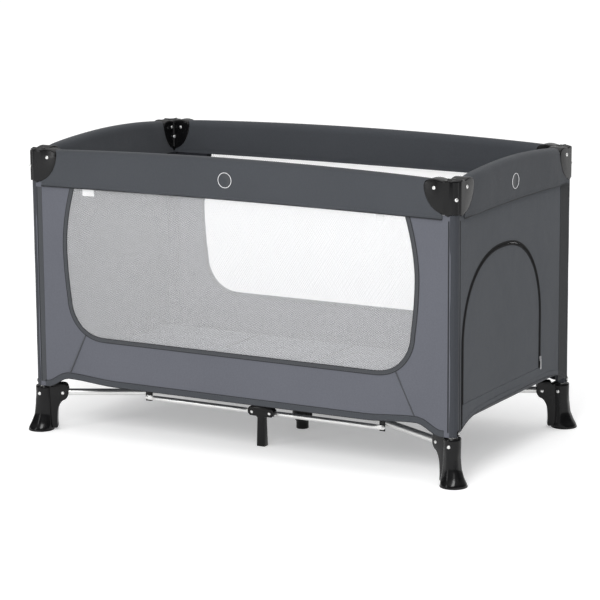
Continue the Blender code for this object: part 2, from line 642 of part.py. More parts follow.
place("hub", hub_mesh(), (0, 0, BASE_Z), plastic)
long_pieces = {"rail_cover": (cover_mesh(False), band_fabric), "wall": (long_wall_mesh(), wall_fabric),
               "mesh_window": (mesh_panel_mesh(), window_mesh)}
for side, sy in (("front", -1), ("rear", 1)):
    for kind, (mesh, skin) in long_pieces.items():
        place(f"{kind}_{side}", mirrored(mesh, 1, sy), (0, sy * POST_Y, 0.40), skin)
    place(f"bracket_leg_{side}", mirrored(bracket_mesh(), 1, sy), (HUB_PIVOT.x, sy * BAR_Y, BAR_Z), plastic)
    latch, button = mirrored(latch_mesh(False), 1, sy), mirrored(button_mesh(False), 1, sy)
    place(f"rail_latch_{side}", latch, (-LATCH_X, sy * POST_Y, RAIL_Z), plastic)
    place(f"latch_button_{side}", button, (0, sy * POST_Y, LATCH_BOTTOM), plastic)

for side, sx in (("left", -1), ("right", 1)):
    place(f"rail_cover_{side}", mirrored(cover_mesh(True), sx, 1), (sx * POST_X, 0, 0.40), band_fabric)
    latch, button = mirrored(latch_mesh(True), sx, 1), mirrored(button_mesh(True), sx, 1)
    place(f"rail_latch_{side}", latch, (sx * POST_X, -LATCH_Y, RAIL_Z), plastic)
    place(f"latch_button_{side}", button, (sx * POST_X, 0, LATCH_BOTTOM), plastic)
place("wall_left", mirrored(short_wall_mesh(False), -1, 1), (-POST_X, 0, 0.40), wall_fabric)
place("wall_right", short_wall_mesh(True), (POST_X, 0, 0.40), wall_fabric)
place("zip_door", door_mesh(), (POST_X + WRAP_IN, DOOR_MID_Y, DOOR_LOW), wall_fabric)
place("zip_slider", slider_mesh(), (POST_X + WRAP_OUT, DOOR_MID_Y + DOOR_HALF, ZIP_Z), zip_metal)
place("floor_fabric", floor_mesh(), (0, 0, FLOOR_Z), band_fabric)
for index in range(PANELS):
    hinge = -MAT_X + 2 * MAT_X / PANELS * index
    height = MAT_LOW if index == 0 or index % 2 == 0 else MAT_HIGH
    place(f"mattress_panel_{index + 1}", panel_mesh(index), (hinge, 0, height), mat_fabric)
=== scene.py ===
"""Looks of the travel play yard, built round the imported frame. Metres, +Z up, the long side along X.

A corner piece is built once, for the rear right corner, and mirrored. A wall is built in wall coordinates:
u along the wall, z up, and d outwards from the plane through the post centres.
"""

import json
from math import atan2, cos, pi, radians, sin, sqrt, tau

import bmesh
import bpy
import numpy as np
from mathutils import Matrix, Vector, noise


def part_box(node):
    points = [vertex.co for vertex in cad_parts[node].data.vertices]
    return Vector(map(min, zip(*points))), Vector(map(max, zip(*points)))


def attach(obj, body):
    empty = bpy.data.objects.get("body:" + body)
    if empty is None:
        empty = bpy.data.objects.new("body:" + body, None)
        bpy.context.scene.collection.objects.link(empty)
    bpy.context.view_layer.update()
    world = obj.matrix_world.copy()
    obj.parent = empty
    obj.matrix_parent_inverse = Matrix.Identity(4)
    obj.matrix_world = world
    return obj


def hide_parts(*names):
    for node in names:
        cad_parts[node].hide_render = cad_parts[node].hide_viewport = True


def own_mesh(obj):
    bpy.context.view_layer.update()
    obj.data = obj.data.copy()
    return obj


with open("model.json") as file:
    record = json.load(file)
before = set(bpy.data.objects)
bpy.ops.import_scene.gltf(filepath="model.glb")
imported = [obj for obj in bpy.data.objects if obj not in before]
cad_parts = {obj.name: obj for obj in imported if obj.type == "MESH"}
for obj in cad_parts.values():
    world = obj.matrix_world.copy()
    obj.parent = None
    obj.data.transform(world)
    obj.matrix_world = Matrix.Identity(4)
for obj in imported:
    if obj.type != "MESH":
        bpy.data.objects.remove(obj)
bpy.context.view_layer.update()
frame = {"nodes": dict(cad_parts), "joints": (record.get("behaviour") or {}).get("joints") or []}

# ---------------------------------------------------------------- sizes read from the frame
joints = {joint["name"]: joint for joint in frame["joints"]}


def pivot(name):
    return Vector(joints[name]["pos_m"])


UP = Vector((0, 0, 1))
POST_R = 0.0125
post_low, post_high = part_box("post_rear_right")
POST_X, POST_Y = post_low.x + POST_R, (post_low.y + post_high.y) / 2
POST_BOTTOM, POST_TOP = post_low.z, post_high.z
FOOT_PIVOT = pivot("foot_level_rear_right")
HUB_PIVOT = pivot("tube_turn_rear_right")
CLIP_POINT = pivot("clip_level_rear_right")
BAR_START = pivot("side_bar_rise_rear_right")
CAP_PIVOT = pivot("long_rail_drop_rear_right")
CAP_PIVOT_Y = pivot("short_rail_drop_rear_right").y
LATCH_X, LATCH_Y = -pivot("latch_level_rear").x, -pivot("latch_level_right").y
RAIL_Z, BASE_Z = CAP_PIVOT.z, FOOT_PIVOT.z
PHI = atan2(FOOT_PIVOT.y - HUB_PIVOT.y, FOOT_PIVOT.x - HUB_PIVOT.x)
OUT = Vector((cos(PHI), sin(PHI), 0))  # along a diagonal tube, outwards
SIDE = Vector((-sin(PHI), cos(PHI), 0))  # across it, towards the long side
CAP_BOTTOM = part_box("cap_rear_right")[0].z
COVER_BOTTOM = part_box("rail_cover_rear")[0].z
COVER_TOP = 0.7455  # at the caps, before the crown
CROWN_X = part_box("rail_cover_rear")[1].z - COVER_TOP
CROWN_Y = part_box("rail_cover_right")[1].z - COVER_TOP
HEM_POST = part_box("wall_rear")[0].z
WALL_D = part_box("wall_rear")[1].y - POST_Y - 0.0006  # middle of the cloth's thickness
FLOOR_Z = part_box("floor_fabric")[0].z
MAT_LOW, MAT_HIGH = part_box("mattress_panel_1")[0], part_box("mattress_panel_1")[1]
MAT_END = -MAT_LOW.x + 0.001

# How far the posts travel towards the fixed front left one, as a share of what stays between them
SHUT = 1 - cos(radians(joints["frame_fold"]["range_deg"][1]))
KEEP_X = 1 - 2 * (FOOT_PIVOT - HUB_PIVOT).x * SHUT / (2 * POST_X)
KEEP_Y = 1 - 2 * (FOOT_PIVOT - HUB_PIVOT).y * SHUT / (2 * POST_Y)

# ---------------------------------------------------------------- sizes of the looks
GAP = 0.0003
STUB = 0.006
CAP_HALF, CAP_SLOT, CAP_SLOT_TOP, CAP_CHAMFER, CAP_TOP = 0.0205, 0.0105, 0.739, 0.0175, 0.745
RAIL_R, DIAG_R, BAR_R, TUBE_WALL = 0.0095, 0.0088, 0.0066, 0.0012
FOOT_R, FOOT_TOP, EAR_HALF, EAR_SLOT = 0.0215, 0.119, 0.0138, 0.0096
BRACKET_HALF, BLADE_HALF, BLADE_LEN = 0.0085, 0.0015, 0.022
COVER_HALF, COVER_T, COVER_END, COVER_INNER = 0.0190, 0.0026, 0.0215, 0.654
CLOTH_T = 0.0012
CORNER_SHADE_STRIP, CORNER_SHADE_STRIP_U = 0.0165, 0.0115 - POST_X  # dark strip beside the left posts: painted shade, not a real binding
POST_SEAM = 0.0052  # from a post's middle to the piped seam beside it
SLEEVE_R = WALL_D + CLOTH_T / 2
WALL_TOP = 0.6620  # tucked up inside the rail covers
HEM, HEM_SAG, SIDE_HEM, SIDE_HEM_RISE, HEM_BAND = 0.1485, 0.0080, 0.1255, 0.0395, 0.016
WINDOW_EDGE = 0.6465
WINDOW_TOP_X, WINDOW_WIDE_X, WINDOW_WIDE_Z = 0.488, 0.512, 0.500
WINDOW_LOW, WINDOW_CORNER_X = 0.256, 0.385
DOOR_MID_Y, DOOR_HALF, DOOR_LOW, DOOR_TOP, DOOR_SPRING = -0.078, 0.227, 0.197, 0.553, 0.330
ZIP_Z = 0.215
NET_A, NET_B = 0.00195, 0.0028
NET_HOLE_U, NET_HOLE_Z = 0.60, 0.90
REAR_NET = 1.75  # the rear net's pitch beside the front one's, so that the two don't beat
COVER_LIFT, COVER_LIFT_MID = 0.0030, 0.0045
STITCH, STITCH_PITCH, THREAD_R = 0.0034, 0.0050, 0.00035

CORNERS = {"front_left": (-1, -1), "front_right": (1, -1), "rear_left": (-1, 1), "rear_right": (1, 1)}
FOLD_X = {"axis": (1, 0, 0), "anchor": (-POST_X, 0, 0), "keep": KEEP_X}
FOLD_Y = {"axis": (0, 1, 0), "anchor": (0, -POST_Y, 0), "keep": KEEP_Y}
FOLD_Z = {"axis": (0, 0, 1), "anchor": (0, 0, RAIL_Z), "keep": 0.36}
WALL_BODY = {"front": "corner_front_left", "rear": "corner_rear_left",
             "left": "corner_front_left", "right": "corner_front_right"}


# ---------------------------------------------------------------- materials
def add_node(tree, kind, sockets=None, **settings):
    node = tree.nodes.new(kind)
    for key, value in settings.items():
        setattr(node, key, value)
    for key, value in (sockets or {}).items():
        if isinstance(value, bpy.types.NodeSocket):
            tree.links.new(value, node.inputs[key])
        else:
            node.inputs[key].default_value = value
    return node


def new_material(name, roughness, metallic=0.0, **more):
    material = bpy.data.materials.new(name)
    material.use_nodes = True
    shader = material.node_tree.nodes["Principled BSDF"]
    shader.inputs["Roughness"].default_value = roughness
    shader.inputs["Metallic"].default_value = metallic
    for key, value in more.items():
        shader.inputs[key.replace("_", " ")].default_value = value
    return material, material.node_tree, shader


def two_tone(tree, factor, dark, light, low=0.3, high=0.7):
    ramp = add_node(tree, "ShaderNodeValToRGB", {"Fac": factor})
    ramp.color_ramp.elements[0].position = low
    ramp.color_ramp.elements[1].position = high
    ramp.color_ramp.elements[0].color = (*dark, 1)
    ramp.color_ramp.elements[1].color = (*light, 1)
    return ramp.outputs["Color"]


def shade(colour, factor):
    return tuple(min(c * factor, 1.0) for c in colour)


def cloth_material(name, colour, weave=0.0011, flat=False, sheen=0.10, relief=0.00012, crease=0.0009, roughness=0.88):
    """Plain-weave polyester: warp and weft ribs, slubs, soft creases, and large soft patches of lighter and darker
    colour that are partly random tone and partly painted wrinkle shade.
    """
    material, tree, shader = new_material(name, roughness, Sheen_Weight=sheen, Sheen_Roughness=0.45,
                                          Specular_IOR_Level=0.2)
    place = add_node(tree, "ShaderNodeTexCoord").outputs["Object"]
    turned = add_node(tree, "ShaderNodeMapping", {"Vector": place, "Rotation": (0, 0, pi / 4)}).outputs["Vector"]
    scale = tau / (20 * weave)
    slub = add_node(tree, "ShaderNodeTexNoise", {"Vector": turned, "Scale": 260.0, "Detail": 2.0}).outputs["Fac"]
    warp = add_node(tree, "ShaderNodeTexWave", {"Vector": turned, "Scale": scale, "Distortion": 0.6},
                    bands_direction="X")
    weft = add_node(tree, "ShaderNodeTexWave", {"Vector": turned, "Scale": scale, "Distortion": 0.6},
                    bands_direction="Y" if flat else "Z")
    ribs = add_node(tree, "ShaderNodeMath", {0: warp.outputs["Fac"], 1: weft.outputs["Fac"]}, operation="MULTIPLY")
    ribs = add_node(tree, "ShaderNodeMath", {0: ribs.outputs[0], 1: slub}, operation="ADD")
    # Large soft patches in the colour: partly random tone, partly painted wrinkle shade.
    tone_and_wrinkle_shade = add_node(tree, "ShaderNodeTexNoise", {"Vector": place, "Scale": 4.0, "Detail": 5.0}).outputs["Fac"]
    mixed = add_node(tree, "ShaderNodeMath", {0: ribs.outputs[0], 1: tone_and_wrinkle_shade}, operation="ADD")
    spread = add_node(tree, "ShaderNodeMath", {0: mixed.outputs[0], 1: 0.45}, operation="MULTIPLY")
    colours = two_tone(tree, spread.outputs[0], shade(colour, 0.86), shade(colour, 1.12), 0.25, 0.85)
    tree.links.new(colours, shader.inputs["Base Color"])
    folds = add_node(tree, "ShaderNodeTexNoise", {"Vector": place, "Scale": 9.0, "Detail": 3.0, "Distortion": 0.5})
    soft = add_node(tree, "ShaderNodeBump", {"Height": folds.outputs["Fac"], "Distance": crease * 10, "Strength": 0.30})
    fine = add_node(tree, "ShaderNodeBump", {"Height": ribs.outputs[0], "Distance": relief, "Strength": 0.7,
                                            "Normal": soft.outputs["Normal"]})
    tree.links.new(fine.outputs["Normal"], shader.inputs["Normal"])
    return material


def tape_material(name, colour, rib=0.0016, gloss=0.3):
    """Ribbed binding tape."""
    material, tree, shader = new_material(name, 0.8, Sheen_Weight=gloss / 2, Specular_IOR_Level=gloss)
    place = add_node(tree, "ShaderNodeTexCoord").outputs["Object"]
    wave = add_node(tree, "ShaderNodeTexWave", {"Vector": place, "Scale": tau / (20 * rib), "Distortion": 0.4},
                    bands_direction="DIAGONAL")
    grain = add_node(tree, "ShaderNodeTexNoise", {"Vector": place, "Scale": 500.0, "Detail": 3.0}).outputs["Fac"]
    total = add_node(tree, "ShaderNodeMath", {0: wave.outputs["Fac"], 1: grain}, operation="ADD").outputs[0]
    colours = two_tone(tree, total, shade(colour, 0.82), shade(colour, 1.15), 0.4, 1.0)
    tree.links.new(colours, shader.inputs["Base Color"])
    bump = add_node(tree, "ShaderNodeBump", {"Height": total, "Distance": 0.00018, "Strength": 0.6})
    tree.links.new(bump.outputs["Normal"], shader.inputs["Normal"])
    return material


def plastic_material(name, colour, roughness=0.20):
    """Glossy black moulding: fine spark-eroded grain and a faint flow pattern."""
    material, tree, shader = new_material(name, roughness, Specular_IOR_Level=0.20, Coat_Weight=0.06,
                                          Coat_Roughness=0.06)
    place = add_node(tree, "ShaderNodeTexCoord").outputs["Object"]
    grain = add_node(tree, "ShaderNodeTexNoise", {"Vector": place, "Scale": 1400.0, "Detail": 2.0}).outputs["Fac"]
    flow = add_node(tree, "ShaderNodeTexNoise", {"Vector": place, "Scale": 22.0, "Detail": 4.0}).outputs["Fac"]
    tree.links.new(two_tone(tree, flow, shade(colour, 0.8), shade(colour, 1.25)), shader.inputs["Base Color"])
    rough = add_node(tree, "ShaderNodeMapRange", {"Value": flow, "From Min": 0.3, "From Max": 0.7,
                                                  "To Min": roughness - 0.05, "To Max": roughness + 0.08})
    tree.links.new(rough.outputs[0], shader.inputs["Roughness"])
    bump = add_node(tree, "ShaderNodeBump", {"Height": grain, "Distance": 0.00004, "Strength": 0.15})
    tree.links.new(bump.outputs["Normal"], shader.inputs["Normal"])
    return material


def metal_material(name, colour, roughness, along):
    """Drawn tube: brush marks stretched along one direction and faint cloudy staining."""
    material, tree, shader = new_material(name, roughness, 1.0)
    place = add_node(tree, "ShaderNodeTexCoord").outputs["Object"]
    stretch = tuple(6.0 if a else 700.0 for a in along)
    brushed = add_node(tree, "ShaderNodeMapping", {"Vector": place, "Scale": stretch}).outputs["Vector"]
    lines = add_node(tree, "ShaderNodeTexNoise", {"Vector": brushed, "Scale": 1.0, "Detail": 4.0}).outputs["Fac"]
    stain = add_node(tree, "ShaderNodeTexNoise", {"Vector": place, "Scale": 14.0, "Detail": 4.0}).outputs["Fac"]
    colours = two_tone(tree, stain, shade(colour, 0.90), shade(colour, 1.06))
    tree.links.new(colours, shader.inputs["Base Color"])
    rough = add_node(tree, "ShaderNodeMapRange", {"Value": lines, "To Min": roughness - 0.08, "To Max": roughness + 0.12})
    tree.links.new(rough.outputs[0], shader.inputs["Roughness"])
    bump = add_node(tree, "ShaderNodeBump", {"Height": lines, "Distance": 0.00004, "Strength": 0.5})
    tree.links.new(bump.outputs["Normal"], shader.inputs["Normal"])
    return material


def yarn_material(name, colour, through_share=0.42):
    """Pale knitted yarn of the windows, which lets half of the light behind it through."""
    material, tree, shader = new_material(name, 0.85, Specular_IOR_Level=0.2)
    place = add_node(tree, "ShaderNodeTexCoord").outputs["Object"]
    twist = add_node(tree, "ShaderNodeTexNoise", {"Vector": place, "Scale": 900.0, "Detail": 2.0}).outputs["Fac"]
    colours = two_tone(tree, twist, shade(colour, 0.92), shade(colour, 1.05))
    tree.links.new(colours, shader.inputs["Base Color"])
    bump = add_node(tree, "ShaderNodeBump", {"Height": twist, "Distance": 0.0001, "Strength": 0.5})
    tree.links.new(bump.outputs["Normal"], shader.inputs["Normal"])
    through = add_node(tree, "ShaderNodeBsdfTranslucent", {"Color": colours}).outputs["BSDF"]
    mixed = add_node(tree, "ShaderNodeMixShader", {0: through_share, 1: shader.outputs["BSDF"], 2: through})
    output = next(node for node in tree.nodes if node.type == "OUTPUT_MATERIAL")
    tree.links.new(mixed.outputs["Shader"], output.inputs["Surface"])
    return material


BAND, END, WALL, MAT = (0.049, 0.053, 0.060), (0.060, 0.065, 0.074), (0.098, 0.102, 0.120), (0.105, 0.110, 0.125)
skins = {
    "band": cloth_material("band_weave", BAND),
    "wall": cloth_material("wall_weave", WALL),
    "end": cloth_material("end_wall_weave", END),
    # The post sleeves' darker colour is partly their own cloth and partly painted shade round the posts.
    "sleeve": cloth_material("sleeve_weave", (0.040, 0.043, 0.050)),
    "floor": cloth_material("floor_weave", BAND, flat=True),
    "mattress": cloth_material("mattress_weave", MAT, weave=0.0014, flat=True),
    "tape": tape_material("binding_tape", (0.042, 0.045, 0.050)),
    "zip": tape_material("zip_tape", (0.0045, 0.0045, 0.0050), 0.0009, 0.1),
    "piping": tape_material("piping", (0.018, 0.019, 0.021), 0.0009, 0.15),
    "thread": tape_material("thread", (0.085, 0.088, 0.098), 0.0006),
    "plastic": plastic_material("black_moulding", (0.0040, 0.0040, 0.0044)),
    "steel_x": metal_material("steel_along_x", (0.76, 0.76, 0.75), 0.34, (1, 0, 0)),
    "steel_y": metal_material("steel_along_y", (0.76, 0.76, 0.75), 0.34, (0, 1, 0)),
    "steel_z": metal_material("steel_along_z", (0.76, 0.76, 0.75), 0.34, (0, 0, 1)),
    "silver": metal_material("silver_rod", (0.80, 0.80, 0.79), 0.34, (1, 0, 0)),
    "zip_metal": metal_material("zip_metal", (0.42, 0.42, 0.43), 0.34, (0, 0, 1)),
    "yarn": yarn_material("window_yarn", (0.90, 0.905, 0.925)),
    # The rear net's yarn is the front net's yarn painted lighter, with more light let through: painted light for a net
    # that sits in shade.
    "yarn_rear": yarn_material("window_yarn_rear", (0.97, 0.975, 0.985), 0.60),
    "label": cloth_material("label_satin", (0.72, 0.72, 0.71), weave=0.0006, sheen=0.4, crease=0.0002),
    "badge": tape_material("badge_thread", (0.74, 0.74, 0.76), 0.0008),
}


# ---------------------------------------------------------------- modelling helpers
def mesh_of(verts, faces, turn=True):
    mesh = bpy.data.meshes.new("shape")
    mesh.from_pydata([tuple(v) for v in verts], [], faces)
    if turn:
        bm = bmesh.new()
        bm.from_mesh(mesh)
        bmesh.ops.recalc_face_normals(bm, faces=bm.faces)
        bm.to_mesh(mesh)
        bm.free()
    return mesh


def loft(sections, closed=False):
    """A solid through loops of the same number of points: flat ends or, closed, joined end to end."""
    n = len(sections[0])
    verts = [p for section in sections for p in section]
    faces = [] if closed else [tuple(range(n)), tuple(range(len(verts) - n, len(verts)))]
    count = len(sections) if closed else len(sections) - 1
    for i in range(count):
        a, b = i * n, (i + 1) % len(sections) * n
        faces += [(a + j, a + (j + 1) % n, b + (j + 1) % n, b + j) for j in range(n)]
    return mesh_of(verts, faces)


def prism(outline, low, high, put):
    return loft([[put(a, b, c) for a, b in outline] for c in (low, high)])


def along_z(a, b, c):
    return Vector((a, b, c))


def along_y(a, b, c):
    return Vector((a, c, b))


def along_x(a, b, c):
    return Vector((c, a, b))


def long_wall(u, z, d):
    return Vector((u, POST_Y + d, z))


def short_wall(u, z, d):
    return Vector((POST_X + d, u, z))


def box(low, high):
    outline = [(low[0], low[1]), (high[0], low[1]), (high[0], high[1]), (low[0], high[1])]
    return prism(outline, low[2], high[2], along_z)


def turned_box(centre, e, n, z):
    outline = [(e[0], n[0]), (e[1], n[0]), (e[1], n[1]), (e[0], n[1])]
    return prism(outline, z[0], z[1], lambda a, b, c: Vector((centre.x, centre.y, c)) + OUT * a + SIDE * b)


def ring(centre, axis, radius, steps):
    axis = axis.normalized()
    u = axis.orthogonal().normalized()
    v = axis.cross(u)
    return [centre + radius * (cos(tau * k / steps) * u + sin(tau * k / steps) * v) for k in range(steps)]


def turned(start, axis, profile, steps=24):
    """A turned solid: profile holds (distance along the axis, radius)."""
    axis = axis.normalized()
    return loft([ring(start + axis * d, axis, r, steps) for d, r in profile])


def rod(start, end, radius, steps=24):
    return turned(start, end - start, ((0, radius), ((end - start).length, radius)), steps)


def pipe(start, end, outer, wall=TUBE_WALL, steps=32):
    axis, lip = (end - start).normalized(), 0.0003
    loops = ((start, outer - lip), (start + axis * lip, outer), (end - axis * lip, outer), (end, outer - lip),
             (end, outer - wall), (start, outer - wall))
    return loft([ring(p, axis, r, steps) for p, r in loops], closed=True)


def dome(centre, axis, radius, height, steps=20):
    """A rivet's head, standing on the plane through centre."""
    profile = [(-0.0006, radius)] + [(height * sin(t), radius * cos(t)) for t in
                                     (0.0, 0.35, 0.7, 1.0, 1.25, 1.5)]
    return turned(centre, axis, profile, steps)


def rivet(centre, axis, reach, radius=0.0046, height=0.0020, both=True):
    axis = axis.normalized()
    heads = [dome(centre + axis * reach, axis, radius, height)]
    if both:
        heads.append(dome(centre - axis * reach, -axis, radius, height))
    return joined(heads + [rod(centre - axis * (reach if both else 0), centre + axis * reach, 0.0024, 12)])


def joined(meshes):
    """Several meshes as one, each still a body of its own."""
    bm = bmesh.new()
    for mesh in meshes:
        bm.from_mesh(mesh)
    result = bpy.data.meshes.new("shape")
    bm.to_mesh(result)
    bm.free()
    return result


def temporary(mesh):
    obj = bpy.data.objects.new("temporary", mesh)
    bpy.context.scene.collection.objects.link(obj)
    return obj


def evaluated(obj):
    graph = bpy.context.evaluated_depsgraph_get()
    return bpy.data.meshes.new_from_object(obj.evaluated_get(graph))


def bevelled(mesh, width, segments=3, angle=32):
    obj = temporary(mesh)
    modifier = obj.modifiers.new("Bevel", "BEVEL")
    modifier.width, modifier.segments = width, segments
    modifier.limit_method, modifier.angle_limit = "ANGLE", radians(angle)
    result = evaluated(obj)
    bpy.data.objects.remove(obj)
    return result


def combine(base, add=(), cut=(), keep=()):
    """The base with meshes joined on, then cut away, then only what is shared kept, by exact Booleans."""
    obj = temporary(base)
    helpers = []
    for operation, meshes in (("UNION", add), ("DIFFERENCE", cut), ("INTERSECT", keep)):
        for mesh in meshes:
            helper = temporary(mesh)
            modifier = obj.modifiers.new(operation.title(), "BOOLEAN")
            modifier.operation, modifier.solver, modifier.object = operation, "EXACT", helper
            helpers.append(helper)
    result = evaluated(obj)
    for helper in [obj, *helpers]:
        bpy.data.objects.remove(helper)
    return result


def mirrored(mesh, sx, sy):
    copy = mesh.copy()
    copy.transform(Matrix.Diagonal((sx, sy, 1, 1)))
    if sx * sy < 0:
        copy.flip_normals()
    return copy


def smooth_loop(points, steps=4):
    """A closed Catmull-Rom curve through the points."""
    n = len(points)
    result = []
    for i in range(n):
        p0, p1, p2, p3 = (Vector(points[(i + k) % n]) for k in (-1, 0, 1, 2))
        for s in range(steps):
            t = s / steps
            q = 0.5 * (2 * p1 + (p2 - p0) * t + (2 * p0 - 5 * p1 + 4 * p2 - p3) * t * t
                       + (3 * p1 - 3 * p2 + p3 - p0) * t**3)
            result.append(tuple(q))
    return result


def piece(name, mesh, skin, body, replaces=(), fold=None, sharp=35):
    """Adds a mesh as a piece of the visual model, riding on a body; with a fold it gets a mesh of its own."""
    mesh = mesh.copy()
    mesh.name = name
    mesh.materials.clear()
    mesh.materials.append(skins[skin])
    obj = bpy.data.objects.new(name, mesh)
    bpy.context.scene.collection.objects.link(obj)
    mesh.polygons.foreach_set("use_smooth", [True] * len(mesh.polygons))
    mesh.set_sharp_from_angle(angle=radians(sharp))
    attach(obj, body)
    if fold:
        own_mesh(obj)
    if replaces:
        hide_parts(*replaces)
    return obj


def smooth_step(t):
    t = min(max(t, 0.0), 1.0)
    return t * t * (3 - 2 * t)


def spread(low, high, count):
    return [low + (high - low) * i / count for i in range(count + 1)]


def area_of(outline):
    turns = [a[0] * b[1] - b[0] * a[1] for a, b in zip(outline, outline[1:] + outline[:1])]
    return abs(sum(turns)) / 2


# ---------------------------------------------------------------- frame
def wing_outline(grow=0.0):
    """Side view of a cap's wing: distance inboard of the post centre, and height."""
    points = [(0.000, 0.664), (0.018, 0.664), (0.034, 0.6690), (0.050, 0.6810), (0.0630, 0.7010), (0.070, 0.725),
              (0.067, 0.7405), (0.055, 0.7465), (0.038, 0.7475), (0.016, 0.7430), (0.000, 0.7425)]
    middle = Vector((0.030, 0.712))
    outline = []
    for u, z in smooth_loop(points, 3):
        away = (Vector((u, z)) - middle).normalized()
        outline.append((max(u, 0.0) + grow * away.x, z + grow * away.y))
    return outline


def wing_reach(z):
    """How far a wing reaches inboard of the post centre at a height."""
    best = COVER_END
    points = wing_outline()
    for (u0, z0), (u1, z1) in zip(points, points[1:] + points[:1]):
        if min(z0, z1) <= z <= max(z0, z1) and abs(z1 - z0) > 1e-9:
            best = max(best, u0 + (u1 - u0) * (z - z0) / (z1 - z0))
    return best


def cap_mesh():
    h, c, inner = CAP_HALF, CAP_CHAMFER, 0.0085
    plan = [(-h + inner, -h), (h, -h), (h, h - c), (h - c, h), (-h, h), (-h, -h + inner)]
    column = prism([(POST_X + a, POST_Y + b) for a, b in plan], CAP_BOTTOM, CAP_TOP, along_z)
    column = bevelled(column, 0.0028, 4)
    centre = Vector((POST_X, POST_Y, 0))
    diagonal = Vector((1, 1, 0)).normalized()
    across = Vector((-1, 1, 0)).normalized()
    top = UP * (CAP_TOP - 0.004)
    low = UP * (CAP_BOTTOM + 0.001)
    ribs = [rod(centre + diagonal * 0.0108 + low, centre + diagonal * 0.0108 + top, 0.0092, 32)]
    inner_low = UP * (CAP_BOTTOM + 0.010)
    ribs.append(rod(centre - diagonal * 0.0275 + inner_low, centre - diagonal * 0.0275 + top, 0.0078, 32))
    for side in (-0.0062, 0.0062):
        foot = centre - diagonal * 0.0315 + across * side
        ribs.append(rod(foot + inner_low, foot + top, 0.0021, 16))
    side = prism([(POST_X - u, z) for u, z in wing_outline()], POST_Y - h, POST_Y + h, along_y)
    end = prism([(POST_Y - u, z) for u, z in wing_outline()], POST_X - h, POST_X + h, along_x)
    reach = wing_reach(RAIL_Z) + 0.02
    cuts = [
        rod(centre + UP * 0.60, centre + UP * (POST_TOP + 0.0005), POST_R + 2 * GAP, 32),
        box((POST_X - reach, POST_Y - CAP_SLOT, 0.60), (POST_X - 0.0165, POST_Y + CAP_SLOT, CAP_SLOT_TOP)),
        box((POST_X - CAP_SLOT, POST_Y - reach, 0.60), (POST_X + CAP_SLOT, POST_Y - 0.0165, CAP_SLOT_TOP)),
    ]
    return combine(column, add=[bevelled(side, 0.0036, 4, 50), bevelled(end, 0.0036, 4, 50), *ribs], cut=cuts)


def foot_mesh():
    """A flared foot with an ear for the diagonal tube, a fluted front and a thin lip at the floor."""
    centre = Vector((POST_X, POST_Y, 0))
    outward = Vector((1, 1, 0)).normalized()
    knots = ((0.000, 0.0335, 0.0095), (0.007, 0.0333, 0.0093), (0.020, 0.0290, 0.0060),
             (0.042, 0.0243, 0.0020), (0.072, FOOT_R, 0.0), (FOOT_TOP, FOOT_R, 0.0))
    heights = [0.0, 0.0008, 0.0030, 0.0036, 0.0044] + spread(0.007, FOOT_TOP - 0.002, 22) + [FOOT_TOP - 0.0006, FOOT_TOP]
    sections = []
    for z in heights:
        radius, shift = (float(np.interp(z, [k[0] for k in knots], [k[i] for k in knots])) for i in (1, 2))
        ease = 0.0012 * sin(pi * min(z / 0.075, 1.0))
        lip = 0.0008 if 0.0008 <= z <= 0.0030 else 0.0
        top = 0.0012 * smooth_step((z - FOOT_TOP + 0.002) / 0.002)
        base = 0.0005 if z == 0 else 0.0
        section = []
        for k in range(48):
            angle = tau * k / 48
            turn = angle - pi / 4
            flute = (0.0013 * cos(3 * turn) + 0.0007 * cos(6 * turn)) * smooth_step(z / 0.02)
            flute *= smooth_step((0.100 - z) / 0.03)
            r = radius - ease + lip - top - base + flute
            section.append(centre + UP * z + outward * shift + Vector((cos(angle), sin(angle), 0)) * r)
        sections.append(section)
    outline = [(0.000, 0.0060), (0.018, 0.0060), (0.0345, 0.0065), (0.0348, 0.0200), (0.0350, 0.0350),
               (0.0370, 0.0560), (0.0430, 0.0710), (0.0500, 0.0790), (0.0570, 0.0825), (0.0635, 0.0910),
               (0.0655, 0.1030), (0.0635, 0.1160), (0.0565, 0.1240), (0.030, 0.1250), (0.0225, 0.1180),
               (0.000, 0.1175)]
    ear = prism(smooth_loop(outline, 3), -EAR_HALF, EAR_HALF, lambda e, z, n: centre - OUT * e + SIDE * n + UP * z)
    cuts = [
        rod(centre + UP * (POST_BOTTOM - 0.0005), centre + UP * 0.2, POST_R + 2 * GAP, 32),
        turned_box(FOOT_PIVOT, (-0.04, 0.014), (-EAR_SLOT, EAR_SLOT), (0.0875, 0.20)),
    ]
    return combine(loft(sections), add=[bevelled(ear, 0.0018, 3, 50)], cut=cuts)


def post_mesh():
    centre = Vector((POST_X, POST_Y, 0))
    tube = pipe(centre + UP * POST_BOTTOM, centre + UP * POST_TOP, POST_R)
    diagonal = Vector((1, 1, 0)).normalized()
    outer = 0.0200
    inner = 0.0352
    at = centre + UP * 0.700
    return joined([tube, rivet(centre + UP * BASE_Z, Vector((0, 1, 0)), FOOT_R + GAP),
                   dome(at + diagonal * outer, diagonal, 0.0046, 0.002),
                   dome(at - diagonal * inner, -diagonal, 0.0046, 0.002)])


def rail_mesh(across):
    if across:
        direction, side, start, end = Vector((0, 1, 0)), Vector((1, 0, 0)), LATCH_Y, CAP_PIVOT_Y
        start, end = Vector((POST_X, start, RAIL_Z)), Vector((POST_X, end, RAIL_Z))
    else:
        direction, side = Vector((1, 0, 0)), Vector((0, 1, 0))
        start, end = Vector((LATCH_X, POST_Y, RAIL_Z)), CAP_PIVOT
    return joined([pipe(start - direction * STUB, end + direction * STUB, RAIL_R, steps=24),
                   rivet(start, side, 0.0140, 0.0040, 0.0014), rivet(end, side, CAP_HALF + GAP)])


